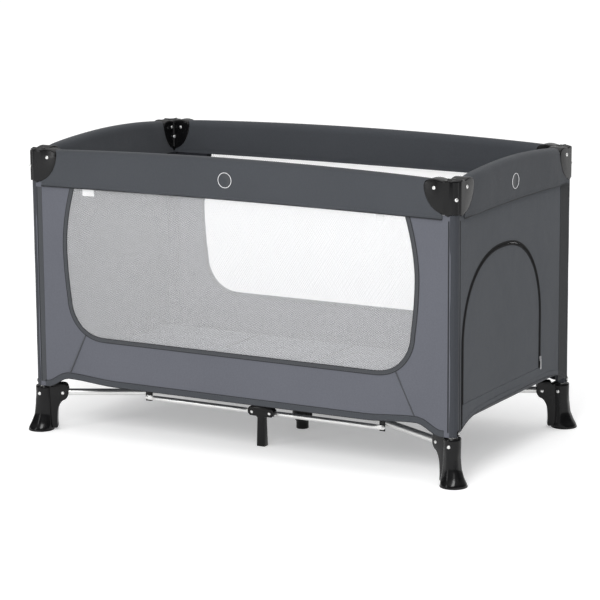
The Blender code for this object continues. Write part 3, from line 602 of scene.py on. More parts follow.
def diagonal_mesh():
    return joined([pipe(FOOT_PIVOT + OUT * STUB, HUB_PIVOT - OUT * STUB, DIAG_R, 0.001, 28),
                   rivet(FOOT_PIVOT, SIDE, EAR_HALF + GAP), rod(HUB_PIVOT - SIDE * 0.0132, HUB_PIVOT + SIDE * 0.0132, 0.0025),
                   rod(CLIP_POINT, CLIP_POINT + SIDE * 0.0131, 0.0020, 12)])


def bar_mesh():
    """A side bar whose round rod flattens smoothly into a blade at each end."""
    y, z = BAR_START.y, BAR_START.z
    inner, outer = HUB_PIVOT.x, CLIP_POINT.x
    sections = []
    for x in (spread(inner - 0.0062, inner + BLADE_LEN, 10) + spread(inner + BLADE_LEN + 0.01, outer - BLADE_LEN - 0.01, 6)
              + spread(outer - BLADE_LEN, outer + 0.0062, 10)):
        near = min(x - inner, outer - x)
        flat = 1 - smooth_step((near - BLADE_LEN + 0.008) / 0.014)
        depth = BLADE_HALF * flat + BAR_R * (1 - flat)
        height = BAR_R - 0.0004 * flat
        if near < 0:
            height *= sqrt(max(1 - (near / 0.00635) ** 2, 0.04))
        sections.append([Vector((x, y + depth * cos(tau * k / 20), z + height * sin(tau * k / 20))) for k in range(20)])
    across = Vector((0, 1, 0))
    pin_end = Vector((outer, y + BLADE_HALF, z))
    return joined([loft(sections), rivet(Vector((inner, y, z)), across, BRACKET_HALF + GAP, 0.0042, 0.0014),
                   dome(pin_end, across, 0.0038, 0.0014), rod(pin_end - across * 0.0055, pin_end, 0.0020, 12)])


def refined(node, width, segments=2):
    """A CAD node's mesh with its flat faces made whole again and its edges rounded."""
    bm = bmesh.new()
    bm.from_mesh(frame["nodes"][node].data)
    bmesh.ops.remove_doubles(bm, verts=bm.verts, dist=1e-6)
    bmesh.ops.dissolve_limit(bm, angle_limit=radians(1), verts=bm.verts, edges=bm.edges)
    mesh = bpy.data.meshes.new("shape")
    bm.to_mesh(mesh)
    bm.free()
    return bevelled(mesh, width, segments, 40)


def hub_mesh():
    body = bevelled(box((-0.0375, -0.0435, 0.086), (0.0375, 0.0435, 0.118)), 0.0045, 3)
    leg = turned(Vector((0, 0, 0)), UP, ((0, 0.0155), (0.0010, 0.0165), (0.018, 0.0165), (0.0195, 0.0170),
                                         (0.0315, 0.0252), (0.0340, 0.0262), (0.095, 0.0262)), 40)
    crown = turned(Vector((0, 0, 0.110)), UP, ((0, 0.024), (0.0365, 0.024), (0.0380, 0.0234), (0.0385, 0.0222)), 40)
    ribs = [box((-0.0260, -0.0012, 0.034), (0.0290, 0.0012, 0.090)), box((-0.0012, -0.0290, 0.034), (0.0012, 0.0290, 0.090))]
    cuts = []
    for sx, sy in CORNERS.values():
        slot = turned_box(HUB_PIVOT, (-0.0112, 0.06), (-EAR_SLOT, EAR_SLOT), (-0.05, BASE_Z + 0.0115))
        cuts.append(mirrored(slot, sx, sy))
    return combine(body, add=[leg, crown, *ribs], cut=cuts)


def build_frame():
    shapes = {"cap": (cap_mesh(), "plastic", "black_plastic"), "foot": (foot_mesh(), "plastic", "black_plastic"),
              "post": (post_mesh(), "steel_z", "satin_steel")}
    bars = {"diagonal_tube": (diagonal_mesh(), "steel_x", "satin_steel", "tube"),
            "side_bar": (bar_mesh(), "silver", "satin_aluminium", "bar"),
            "long_rail": (rail_mesh(False), "steel_x", "satin_steel", "long_half"),
            "short_rail": (rail_mesh(True), "steel_y", "satin_steel", "short_half")}
    for corner, (sx, sy) in CORNERS.items():
        for kind, (mesh, skin, slot) in shapes.items():
            piece(f"{kind}_fine_{corner}", mirrored(mesh, sx, sy), skin, "corner_" + corner, [f"{kind}_{corner}"])
        for kind, (mesh, skin, slot, body) in bars.items():
            piece(f"{kind}_fine_{corner}", mirrored(mesh, sx, sy), skin, f"{body}_{corner}", [f"{kind}_{corner}"])
        piece(f"clip_fine_{corner}", refined(f"clip_{corner}", 0.0006), "plastic", "clip_" + corner,
              [f"clip_{corner}"])
    piece("hub_fine", hub_mesh(), "plastic", "hub", ["hub"])
    for side in ("front", "rear"):
        piece(f"bracket_fine_{side}", refined(f"bracket_leg_{side}", 0.0009, 3), "plastic", "leg_" + side,
              [f"bracket_leg_{side}"])
    for side in ("front", "rear", "left", "right"):
        for kind, body in (("rail_latch", "latch"), ("latch_button", "button")):
            piece(f"{kind}_fine_{side}", refined(f"{kind}_{side}", 0.0005), "plastic", f"{body}_{side}",
                  [f"{kind}_{side}"])


# ---------------------------------------------------------------- seams, tapes and stitches
def normals_of(path):
    """In-plane normals of an open path, to the left of its direction."""
    result = []
    for i in range(len(path)):
        a, b = Vector(path[max(i - 1, 0)]), Vector(path[min(i + 1, len(path) - 1)])
        t = (b - a).normalized()
        result.append(Vector((-t.y, t.x)))
    return result


def strip(path, profile, put):
    """A tape along a path in the wall's plane: profile holds (offset to the path's left, depth)."""
    sections = []
    for point, n in zip(path, normals_of(path)):
        sections.append([put(point[0] + n.x * a, point[1] + n.y * a, b) for a, b in profile])
    return loft(sections)


def flat_profile(low, high, inner, outer):
    """A tape's cross-section with soft edges, from low to high across and inner to outer in depth."""
    c = min(0.0005, (high - low) / 4, (outer - inner) / 3)
    return [(low, inner + c), (low + c, inner), (high - c, inner), (high, inner + c),
            (high, outer - c), (high - c, outer), (low + c, outer), (low, outer - c)]


def resampled(path, step):
    """Points at equal steps along an open path."""
    points = [Vector(p) for p in path]
    lengths = [0.0]
    for a, b in zip(points, points[1:]):
        lengths.append(lengths[-1] + (b - a).length)
    count = max(int(lengths[-1] / step), 2)
    at = [lengths[-1] * i / count for i in range(count + 1)]
    return [tuple(float(np.interp(s, lengths, [p[k] for p in points])) for k in range(2)) for s in at]


def stitches(path, offset, depth, put):
    """A row of thread stitches beside a path, each a small spindle lying on the cloth."""
    verts, faces = [], []
    path = resampled(path, STITCH_PITCH)
    for point, n in zip(path, normals_of(path)):
        along = Vector((n.y, -n.x))
        middle = Vector(point) + n * offset
        base = len(verts)
        for end in (-0.5, 0.5):
            tip = middle + along * STITCH * end
            verts.append(put(tip.x, tip.y, depth))
        for a, b in ((1, 0), (0, 1), (-1, 0), (0, -1)):
            side = middle + n * THREAD_R * a
            verts.append(put(side.x, side.y, depth + THREAD_R * b))
        for k in range(4):
            faces.append((base, base + 2 + k, base + 2 + (k + 1) % 4))
            faces.append((base + 1, base + 2 + (k + 1) % 4, base + 2 + k))
    return mesh_of(verts, faces)


def slab(us, column, put, depth, thick=CLOTH_T):
    """Cloth over a grid, as a thin closed solid. column(u) lists heights, depth(u, z) is the cloth's middle."""
    verts, faces = [], []
    n, m = len(us), len(column(us[0]))
    for side in (0.5, -0.5):
        for u in us:
            verts += [put(u, z, depth(u, z) + side * thick) for z in column(u)]
    back = n * m
    for i in range(n - 1):
        for j in range(m - 1):
            a, b = i * m + j, (i + 1) * m + j
            faces += [(a, b, b + 1, a + 1), (back + a, back + a + 1, back + b + 1, back + b)]
    rim = [i * m for i in range(n)] + [(n - 1) * m + j for j in range(1, m)]
    rim += [i * m + m - 1 for i in range(n - 2, -1, -1)] + [j for j in range(m - 2, 0, -1)]
    for a, b in zip(rim, rim[1:] + rim[:1]):
        faces.append((a, back + a, back + b, b))
    return mesh_of(verts, faces)


def billow(u, z, seed, half, seam):
    """Slight waves of stretched cloth, calm at its edges and along a seam: outwards from the wall's plane."""
    edge = smooth_step((half - abs(u)) / 0.05) * smooth_step((WINDOW_EDGE - z) / 0.06) * smooth_step((z - 0.150) / 0.03)
    if seam is not None:
        edge *= smooth_step((float(np.hypot(seam[:, 0] - u, seam[:, 1] - z).min()) - 0.020) / 0.035)
    wave = noise.noise(Vector((u * 5.0, z * 3.0, seed))) * 0.0022
    wave += noise.noise(Vector((u * 16.0 + z * 9.0, z * 6.0, seed + 7))) * 0.0008
    return wave * edge


# ---------------------------------------------------------------- long walls with mesh windows
def window_side():
    """Right half of the window's edge, from the rail cover down and round to the middle of its sill."""
    side = []
    top = WALL_TOP
    for z in spread(top, 0.36, 20):
        bow = (z - WINDOW_WIDE_Z) / (WINDOW_EDGE - WINDOW_WIDE_Z)
        share = abs(bow) ** 1.8 * (1 if bow > 0 else 0.5)
        side.append((WINDOW_WIDE_X - (WINDOW_WIDE_X - WINDOW_TOP_X) * share, z))
    last_x, last_z = side[-1]
    for k in range(1, 17):
        a = pi / 2 * k / 16
        side.append((WINDOW_CORNER_X + (last_x - WINDOW_CORNER_X) * cos(a) ** 0.82,
                     last_z - (last_z - WINDOW_LOW) * sin(a) ** 1.1))
    return side + [(x, WINDOW_LOW) for x in spread(WINDOW_CORNER_X, 0.0, 12)[1:]]


def hem_height(x):
    sag = HEM_SAG * (1 - smooth_step((abs(x) - 0.36) / 0.14))
    return HEM - sag + (HEM_POST - HEM) * smooth_step((abs(x) - 0.505) / 0.065)


def side_hem(y):
    return SIDE_HEM + SIDE_HEM_RISE * (1 - abs(y / POST_Y) ** 6)


def net_mesh(outline, put, pitch, half):
    """Half of the knitted net: a lattice of diamond holes, kept where it is inside the outline."""
    points = np.array(outline)
    step_u, step_z = NET_A * pitch, NET_B * pitch
    low, high = points.min(0) - 0.004, points.max(0) + 0.004
    columns, rows = int((high[0] - low[0]) / step_u), int((high[1] - low[1]) / step_z)
    i, j = np.meshgrid(np.arange(columns), np.arange(rows), indexing="ij")
    cell = (i + j) % 2 == 0
    i, j = i[cell], j[cell]
    x, z = low[0] + i * step_u, low[1] + j * step_z
    middle = int(-low[0] / step_u)
    inside = np.zeros(len(x), bool)
    for (x0, z0), (x1, z1) in zip(points, np.roll(points, -1, 0)):
        if abs(z1 - z0) > 1e-9:
            crosses = (z0 > z) != (z1 > z)
            inside ^= crosses & (x < x0 + (x1 - x0) * (z - z0) / (z1 - z0))
    inside &= (i >= middle) if half > 0 else (i < middle)
    i, j = i[inside], j[inside]
    corners = [(1, 0), (0, 1), (-1, 0), (0, -1)]
    keys = np.stack([(i + a) * (rows + 9) + (j + b) for a, b in corners], 1)
    unique, index = np.unique(keys, return_inverse=True)
    index = index.reshape(keys.shape)
    knots = np.stack([unique // (rows + 9), unique % (rows + 9)], 1)
    holes = np.stack([np.stack([i + a * NET_HOLE_U, j + b * NET_HOLE_Z], 1) for a, b in corners], 1)
    flat = np.concatenate([knots, holes.reshape(-1, 2)]) * (step_u, step_z) + low
    verts = []
    for u, v in flat:
        pull = noise.noise_vector(Vector((u * 14, v * 14, 10 * pitch))) * 0.0016
        verts.append(put(u + pull.x, v + pull.y, WALL_D))
    base = len(knots) + 4 * np.arange(len(i))
    faces = []
    for k in range(4):
        n = (k + 1) % 4
        faces.append(np.stack([index[:, k], index[:, n], base + n, base + k], 1))
    return mesh_of(verts, np.concatenate(faces).tolist(), turn=False)


def build_long_walls():
    edge = window_side()
    outline = edge + [(-x, z) for x, z in edge[-2::-1]]
    us = spread(-POST_X, POST_X, 96)
    cutter = prism(outline, 0.0, 0.05, lambda a, b, c: long_wall(a, b, c))
    hem_path = [(u, hem_height(u)) for u in spread(POST_X - 0.0165, 0.0165 - POST_X, 96)]
    seams = []
    for sx in (-1, 1):
        seams.append([(sx * (WINDOW_CORNER_X + 0.062), WINDOW_LOW + 0.018), (sx * 0.500, HEM + HEM_BAND)])
    front, back = WALL_D + CLOTH_T / 2, WALL_D - CLOTH_T / 2
    net_outline = [(x * 1.006, min(z, WALL_TOP - 0.004) - (0.004 if z < 0.36 else 0)) for x, z in outline]
    seam_line = np.array(resampled(outline, 0.01))
    for index, (side, sy) in enumerate((("front", -1), ("rear", 1))):
        seed = 3.0 + 11 * index

        def depth(u, z):
            return WALL_D + billow(u, z, seed, POST_X, seam_line)

        pitch = REAR_NET if side == "rear" else 1.0
        wall = slab(us, lambda u: spread(hem_height(u), WALL_TOP, 34), long_wall, depth)
        wall = combine(wall, cut=[cutter])
        tape = strip(outline, flat_profile(-0.0110, 0.0010, back - 0.0009, front + 0.0012), long_wall)
        edges = [strip(outline, flat_profile(a, a + 0.0013, front + 0.0008, front + 0.0018), long_wall)
                 for a in (-0.0112, -0.0005)]
        edges += [strip(hem_path, flat_profile(a, a + 0.0012, front + 0.0002, front + 0.0012), long_wall)
                  for a in (-HEM_BAND - 0.0003, -0.0006)]
        hem = strip(hem_path, flat_profile(-HEM_BAND, 0.0004, back - 0.0006, front + 0.0007), long_wall)
        ribs = [strip(resampled(seam, 0.02), flat_profile(-0.0016, 0.0016, front - 0.0004, front + 0.0014), long_wall)
                for seam in seams]
        threads = [stitches(hem_path, a, front + 0.0009, long_wall) for a in (-0.0020, -HEM_BAND + 0.0022)]
        threads += [stitches(outline, a, front + 0.0014, long_wall) for a in (-0.0022, -0.0092)]
        threads += [stitches(seam, a, front + 0.0004, long_wall) for seam in seams for a in (-0.0045, 0.0045)]
        for sx in (-1, 1):
            post_seam = [(sx * (POST_X - POST_SEAM), HEM_POST + 0.012), (sx * (POST_X - POST_SEAM), COVER_BOTTOM)]
            threads.append(stitches(post_seam, 0.0, front + 0.0003, long_wall))
            edges.append(strip(resampled(post_seam, 0.03), flat_profile(-0.0015, 0.0015, front - 0.0004, front + 0.0009),
                               long_wall))
        # A dark tape-coloured strip beside the left post: painted shade of the corner, carried with the seam ribs.
        ribs.append(strip(resampled([(CORNER_SHADE_STRIP_U, HEM_POST + 0.012), (CORNER_SHADE_STRIP_U, COVER_BOTTOM)], 0.03),
                          flat_profile(-CORNER_SHADE_STRIP / 2, CORNER_SHADE_STRIP / 2, front - 0.0004, front + 0.0007), long_wall))
        body = WALL_BODY[side]
        made = {"wall_cloth": (wall, "wall", "wall_fabric", [f"wall_{side}"]),
                "window_tape": (tape, "tape", "band_fabric", []), "hem_band": (hem, "band", "band_fabric", []),
                "seam_ribs_and_shade_strip": (joined(ribs), "tape", "wall_fabric", []),
                "edge_piping": (joined(edges), "piping", "band_fabric", []),
                "wall_threads": (joined(threads), "thread", "wall_fabric", [])}
        parts = {kind: piece(f"{kind}_{side}", mirrored(mesh, 1, sy), skin, body, stands, FOLD_X)
                 for kind, (mesh, skin, slot, stands) in made.items()}
        for half, sx in (("left", -1), ("right", 1)):
            net = mirrored(net_mesh(net_outline, long_wall, pitch, sx), 1, sy)
            stands = [f"mesh_window_{side}"] if half == "left" else []
            net = piece(f"window_net_{side}_{half}", net, "yarn_rear" if side == "rear" else "yarn", body, stands, FOLD_X)
    build_labels()


def build_labels():
    """Two small blank care labels, hanging inside the front net under its rail cover."""
    for name, u, wide in (("left", -0.434, 0.034), ("right", 0.405, 0.022)):
        column = spread(0.6335, 0.655, 6)
        cloth = slab(spread(u - wide / 2, u + wide / 2, 8), lambda x: column, long_wall,
                     lambda x, z: WALL_D - 0.0030 - 0.0010 * sin((x - u) * 120) * (0.655 - z) / 0.02, 0.0005)
        label = piece(f"care_label_{name}", mirrored(cloth, 1, -1), "label", WALL_BODY["front"],
                      [], FOLD_X)


# ---------------------------------------------------------------- short walls, door and zip
def door_outline(shrink=0.0, low=DOOR_LOW, steps=40):
    """The arch of the zipped door, from the foot of its rear leg over to the foot of its front leg."""
    a, rise = DOOR_HALF - shrink, DOOR_TOP - DOOR_SPRING - shrink
    points = [(DOOR_MID_Y + a, z) for z in spread(low, DOOR_SPRING, 8)[:-1]]
    for k in range(steps + 1):
        c, s = cos(pi * k / steps), sin(pi * k / steps)
        reach = a * abs(c) ** 0.86 * (1 if c > 0 else -1)
        points.append((DOOR_MID_Y + reach, DOOR_SPRING + rise * max(s, 0.0) ** 0.92))
    return points + [(DOOR_MID_Y - a, z) for z in spread(DOOR_SPRING, low, 8)[1:]]


def teeth(path, offset, depth, put, pitch=0.0022):
    """One row of zip teeth beside a path."""
    blocks = []
    path = resampled(path, pitch)
    verts, faces = [], []
    for point, n in zip(path, normals_of(path)):
        along = Vector((n.y, -n.x))
        base = len(verts)
        for dz in (0.0, 0.0011):
            for a, b in ((-1, -1), (1, -1), (1, 1), (-1, 1)):
                p = Vector(point) + n * (offset + a * 0.0009) + along * b * 0.00065
                verts.append(put(p.x, p.y, depth + dz))
        faces += [tuple(base + k for k in f) for f in
                  ((0, 1, 2, 3), (4, 5, 6, 7), (0, 1, 5, 4), (1, 2, 6, 5), (2, 3, 7, 6), (3, 0, 4, 7))]
    return mesh_of(verts, faces)


def slider_mesh():
    """A zip slider: waisted body, bridge and a pull tab with a hole."""
    d, y = WALL_D + CLOTH_T / 2 + GAP, DOOR_MID_Y + DOOR_HALF - 0.0005
    outline = [(-0.0030, 0.0), (0.0030, 0.0), (0.0036, 0.004), (0.0048, 0.0085), (0.0045, 0.012),
               (-0.0045, 0.012), (-0.0048, 0.0085), (-0.0036, 0.004)]
    body = prism([(y + a, ZIP_Z + b) for a, b in outline], d + 0.0012, d + 0.0032, lambda a, b, c: short_wall(a, b, c))
    bridge = prism([(ZIP_Z + 0.0025, d + 0.003), (ZIP_Z + 0.0100, d + 0.003), (ZIP_Z + 0.0088, d + 0.0048),
                    (ZIP_Z + 0.0040, d + 0.0048)], y - 0.0010, y + 0.0010, lambda a, b, c: short_wall(c, a, b))
    tab = [(-0.0028, -0.021), (0.0028, -0.021), (0.0034, -0.017), (0.0022, -0.004), (0.0026, 0.004),
           (-0.0026, 0.004), (-0.0022, -0.004), (-0.0034, -0.017)]
    tab = prism([(y + a, ZIP_Z + b) for a, b in smooth_loop(tab, 3)], d + 0.0034, d + 0.0044, short_wall)
    hole = rod(short_wall(y, ZIP_Z - 0.0155, d), short_wall(y, ZIP_Z - 0.0155, d + 0.02), 0.0014, 16)
    return joined([bevelled(body, 0.0006, 2), bevelled(bridge, 0.0004, 2), combine(bevelled(tab, 0.0003, 2), cut=[hole])])


def build_short_walls():
    us = spread(-POST_Y, POST_Y, 56)
    front, back = WALL_D + CLOTH_T / 2, WALL_D - CLOTH_T / 2
    arch = door_outline()
    leg = [(DOOR_MID_Y - DOOR_HALF, z) for z in spread(DOOR_LOW, side_hem(DOOR_MID_Y - DOOR_HALF) + 0.001, 4)[1:]]
    zip_path = arch + leg
    hem_path = [(u, side_hem(u)) for u in spread(POST_Y - 0.0125, 0.0125 - POST_Y, 64)]
    seam_line = np.array(resampled(zip_path, 0.01))
    for side, sx in (("left", -1), ("right", 1)):
        seed = 31.0 + sx * 5

        def depth(u, z):
            return WALL_D + billow(u, z, seed, POST_Y - 0.056, seam_line if side == "right" else None)

        wall = slab(us, lambda u: spread(side_hem(u), WALL_TOP, 34), short_wall, depth)
        area = 2 * POST_Y * (WALL_TOP - SIDE_HEM - SIDE_HEM_RISE * 6 / 7)
        threads = [stitches(hem_path, a, front + 0.0006, short_wall) for a in (-0.0022, -0.0095)]
        hem = strip(hem_path, flat_profile(-0.0115, 0.0004, back - 0.0004, front + 0.0004), short_wall)
        if side == "right":
            wall = combine(wall, cut=[prism(arch, 0.0, 0.05, short_wall)])
            area -= area_of(arch)
            threads += [stitches(zip_path, a, front + 0.0004, short_wall) for a in (-0.0075,)]
        body = WALL_BODY[side]
        edges = [strip(hem_path, flat_profile(-0.0006, 0.0008, back - 0.0002, front + 0.0009), short_wall)]
        for sy in (-1, 1):
            post_seam = [(sy * (POST_Y - POST_SEAM), HEM_POST + 0.014), (sy * (POST_Y - POST_SEAM), COVER_BOTTOM)]
            edges.append(strip(resampled(post_seam, 0.03), flat_profile(-0.0015, 0.0015, front - 0.0004, front + 0.0009),
                               short_wall))
        # A 52 mm dark strip in piping colour beside each rear post: painted shade where the cloth turns in towards the
        # post.
        shade_strip_path = [(POST_Y - 0.030, HEM_POST + 0.016), (POST_Y - 0.030, COVER_BOTTOM)]
        edges.append(strip(resampled(shade_strip_path, 0.03), flat_profile(-0.026, 0.026, front - 0.0004, front + 0.0006),
                           short_wall))
        cloth = piece(f"wall_cloth_{side}", mirrored(wall, sx, 1), "end", body, [f"wall_{side}"], FOLD_Y)
        band = piece(f"hem_band_{side}", mirrored(hem, sx, 1), "end", body, [], FOLD_Y)
        # The piping piece here also carries the painted shade strip.
        piping = piece(f"edge_piping_{side}", mirrored(joined(edges), sx, 1), "piping", body, [], FOLD_Y)
        thread = piece(f"wall_threads_{side}", mirrored(joined(threads), sx, 1), "thread", body, [], FOLD_Y)

    tape = strip(zip_path, flat_profile(-0.0055, 0.0, back - 0.0003, front + 0.0006), short_wall)
    body = WALL_BODY["right"]
    piece("zip_tape_wall", tape, "zip", body, [], FOLD_Y)
    piece("zip_teeth_wall", teeth(zip_path, -0.0005, front + 0.0005, short_wall), "zip", body, [], FOLD_Y)

    def door_depth(u, z):
        return WALL_D + billow(u, z, 36.0, POST_Y, seam_line)

    inner = door_outline(0.0012, DOOR_LOW + 0.0012)
    panel = slab(spread(DOOR_MID_Y - DOOR_HALF - 0.01, DOOR_MID_Y + DOOR_HALF + 0.01, 44),
                 lambda u: spread(DOOR_LOW - 0.01, DOOR_TOP + 0.01, 34), short_wall, door_depth)
    panel = combine(panel, keep=[prism(inner, 0.0, 0.05, short_wall)])
    door = piece("door_cloth", panel, "end", "door", ["zip_door"], FOLD_Y)
    tape = strip(inner, flat_profile(0.0, 0.0055, back - 0.0003, front + 0.0006), short_wall)
    tape = piece("zip_tape_door", tape, "zip", "door", [], FOLD_Y)
    row = piece("zip_teeth_door", teeth(inner, 0.0005, front + 0.0005, short_wall), "zip", "door", [], FOLD_Y)
    thread = piece("door_threads", stitches(inner, 0.0075, front + 0.0004, short_wall), "thread", "door",
                   [], FOLD_Y)
    piece("zip_slider_fine", slider_mesh(), "zip_metal", "slider", ["zip_slider"], FOLD_Y)


# ---------------------------------------------------------------- post sleeves and press studs
def sleeve_mesh():
    """The cloth round a post, with slight slack."""
    centre = Vector((POST_X, POST_Y, 0))
    sections = {}
    for layer, radius in (("outer", SLEEVE_R), ("inner", SLEEVE_R - CLOTH_T)):
        sections[layer] = []
        for z in spread(HEM_POST, CAP_BOTTOM - 0.0005, 60):
            loop = []
            for k in range(48):
                a = tau * k / 48
                slack = 0.0005 * noise.noise(Vector((cos(a) * 1.5, sin(a) * 1.5, z * 14))) if layer == "outer" else 0
                loop.append(centre + Vector((cos(a), sin(a), 0)) * (radius + slack) + UP * z)
            sections[layer].append(loop)
    return loft(sections["outer"] + sections["inner"][::-1], closed=True)


def build_sleeves():
    sleeve = sleeve_mesh()
    stud_at = Vector((POST_X + SLEEVE_R - 0.0004, POST_Y, HEM_POST + 0.0095))
    x = Vector((1, 0, 0))
    stud = turned(stud_at, x, ((0, 0.0066), (0.0012, 0.0068), (0.0024, 0.0060), (0.0028, 0.0042), (0.0024, 0.0034)))
    button = dome(stud_at + x * 0.0023, x, 0.0032, 0.0012)
    turn = [(POST_X + SLEEVE_R * cos(a), POST_Y + SLEEVE_R * sin(a)) for a in spread(-pi / 2, pi, 30)]
    for corner, (sx, sy) in CORNERS.items():
        body = "corner_" + corner
        cloth = piece(f"post_sleeve_{corner}", mirrored(sleeve, sx, sy), "sleeve", body)
        rows = []
        for z in (HEM_POST + 0.0025, HEM_POST + 0.0065):
            rows.append(stitches(turn, 0.0, z, lambda a, b, c: Vector((a, b, c))))
        thread = piece(f"sleeve_threads_{corner}", mirrored(joined(rows), sx, sy), "thread", body)
        piece(f"press_stud_{corner}", mirrored(stud, sx, sy), "plastic", body)
        piece(f"stud_cap_{corner}", mirrored(button, sx, sy), "steel_z", body)


# ---------------------------------------------------------------- padded rail covers
def cover_loops(top):
    """Cross-section of a rail cover: outer side, then lining, as (depth, height) points."""
    h, low, inner = COVER_HALF, COVER_BOTTOM, COVER_INNER
    outer = [(h, low), (h + 0.0002, low + 0.004), (h - 0.0007, low + 0.0085), (h + 0.0003, low + 0.014)]
    outer += [(h + 0.0009 * sin(pi * t), low + 0.014 + (top - 0.020 - low - 0.014) * t) for t in spread(0.15, 1, 6)]
    outer += [(h * cos(t) ** 0.7, top - 0.020 + 0.020 * sin(t)) for t in spread(0.2, pi / 2, 8)]
    outer += [(-h * cos(t) ** 0.7, top - 0.020 + 0.020 * sin(t)) for t in spread(pi / 2, 0.2, 8)[1:]]
    outer += [(-h - 0.0009 * sin(pi * t), low + 0.014 + (top - 0.020 - low - 0.014) * t) for t in spread(1, 0.15, 6)]
    outer += [(-h - 0.0003, inner + 0.012), (-h + 0.0007, inner + 0.0075), (-h - 0.0002, inner + 0.003), (-h, inner)]
    lining = []
    for c, z in outer[::-1]:
        share = (h - COVER_T) / h
        lining.append((c * share, min(z, top - COVER_T - 0.001) if z > top - 0.02 else z))
    lining = [(c, top - 0.020 + (z - top + 0.020) * 0.86 if z > top - 0.020 else z) for c, z in lining]
    return outer + lining


def cover_half(across):
    """Half of a padded cover, from mid span to a cap, whose end follows the edge of the cap's wing."""
    half_span, crown = (POST_Y, CROWN_Y) if across else (POST_X, CROWN_X)
    steps = 26 if across else 44
    sections = []
    for i in range(steps + 1):
        t = i / steps
        s = t * (half_span - 0.045)
        top = COVER_TOP + crown * max(1 - (s / (half_span - 0.045)) ** 2, 0)
        near_end = smooth_step((t - 0.80) / 0.2)
        section = []
        for k, (c, z) in enumerate(cover_loops(top)):
            end = half_span - max(wing_reach(min(z, 0.7472)), COVER_END) - 0.0004
            if z < 0.700:
                end = half_span - max(wing_reach(z), COVER_END) - 0.0004
            along = t * end
            z += trim_lift(t) * max(1 - (z - COVER_BOTTOM) / 0.03, 0.0)
            puff = 0.0016 * (1 - near_end) * (1 if abs(c) > 0.012 else 0.3)
            fold = noise.noise(Vector((along * 9, z * 5, 1.5 if across else 4.5))) * 0.0011
            fold += noise.noise(Vector((along * 42, z * 14, 8.0))) * 0.0006 * smooth_step((t - 0.72) / 0.2)
            d = c + (puff + fold * (1 - near_end * 0.8)) * (1 if c > 0 else -1) * min(abs(c) / 0.012, 1)
            section.append(short_wall(along, z, d) if across else long_wall(along, z, d))
        sections.append(section)
    return loft(sections)


def trim_lift(t):
    return COVER_LIFT + COVER_LIFT_MID * (1 - t * t)


def cover_trim(across):
    """Piping along the lower edge of half a cover, and the stitch row above it."""
    half_span = POST_Y if across else POST_X
    put = short_wall if across else long_wall
    end = half_span - COVER_END - 0.0006
    sections = []
    for u in spread(0.0, end, 40):
        z = COVER_BOTTOM + 0.0004 + trim_lift(u / end)
        sections.append([put(u, z + 0.0014 * sin(a), COVER_HALF + 0.0006 + 0.0014 * cos(a))
                         for a in spread(0, tau, 12)[:-1]])
    path = [(u, COVER_BOTTOM + 0.0085 + 0.72 * trim_lift(u / end)) for u in spread(0.002, end - 0.004, 30)]
    row = stitches(path, 0.0, COVER_HALF + 0.0010, put)
    return loft(sections), row


def build_covers():
    halves = {False: (cover_half(False), *cover_trim(False)), True: (cover_half(True), *cover_trim(True))}
    owners = {"front_left": "front", "front_right": "front", "rear_left": "rear", "rear_right": "rear"}
    for corner, (sx, sy) in CORNERS.items():
        for across in (False, True):
            kind = "short" if across else "long"
            body = f"{kind}_half_{corner}"
            side = corner.split("_")[1] if across else owners[corner]
            pad, piping, row = (mirrored(mesh, sx, sy) for mesh in halves[across])
            stands = [f"rail_cover_{side}"] if corner in ("front_left", "rear_left", "front_right") else []
            if (corner == "rear_left" and across) or (corner == "front_right" and not across):
                stands = []
            cover = piece(f"cover_{kind}_{corner}", pad, "band", body, stands, FOLD_Z, 60)
            piece(f"cover_piping_{kind}_{corner}", piping, "piping", body, [], FOLD_Z)
            piece(f"cover_threads_{kind}_{corner}", row, "thread", body, [], FOLD_Z)


def build_badges():
    """Plain round woven patches with a stitched rim, one on the front cover and one on the right cover."""
    for name, u, z, put, mirror, body in (
            ("front", 0.0215, 0.7045, long_wall, (-1, -1), "long_half_front_left"),
            ("right", 0.0225, 0.7030, short_wall, (1, -1), "short_half_front_right")):
        d = COVER_HALF + 0.0014
        radius = 0.0205
        patch = [[put(u + (radius - shrink) * cos(a), z + (radius - shrink) * sin(a), d + lift)
                  for a in spread(0, tau, 48)[:-1]]
                 for shrink, lift in ((0.0, 0.0), (0.0, 0.0012), (0.0004, 0.0016), (0.0026, 0.0016), (0.0032, 0.0012))]
        piece(f"badge_{name}", mirrored(loft(patch), *mirror), "tape", body, [], FOLD_Z)
        rim = [[put(u + (radius - 0.0018 + 0.0007 * cos(b)) * cos(a), z + (radius - 0.0018 + 0.0007 * cos(b)) * sin(a),
                    d + 0.0018 + 0.0007 * sin(b)) for b in spread(0, tau, 8)[:-1]]
               for a in spread(0, tau, 64)[:-1]]
        piece(f"badge_rim_{name}", mirrored(loft(rim, closed=True), *mirror), "badge", body, [], FOLD_Z)


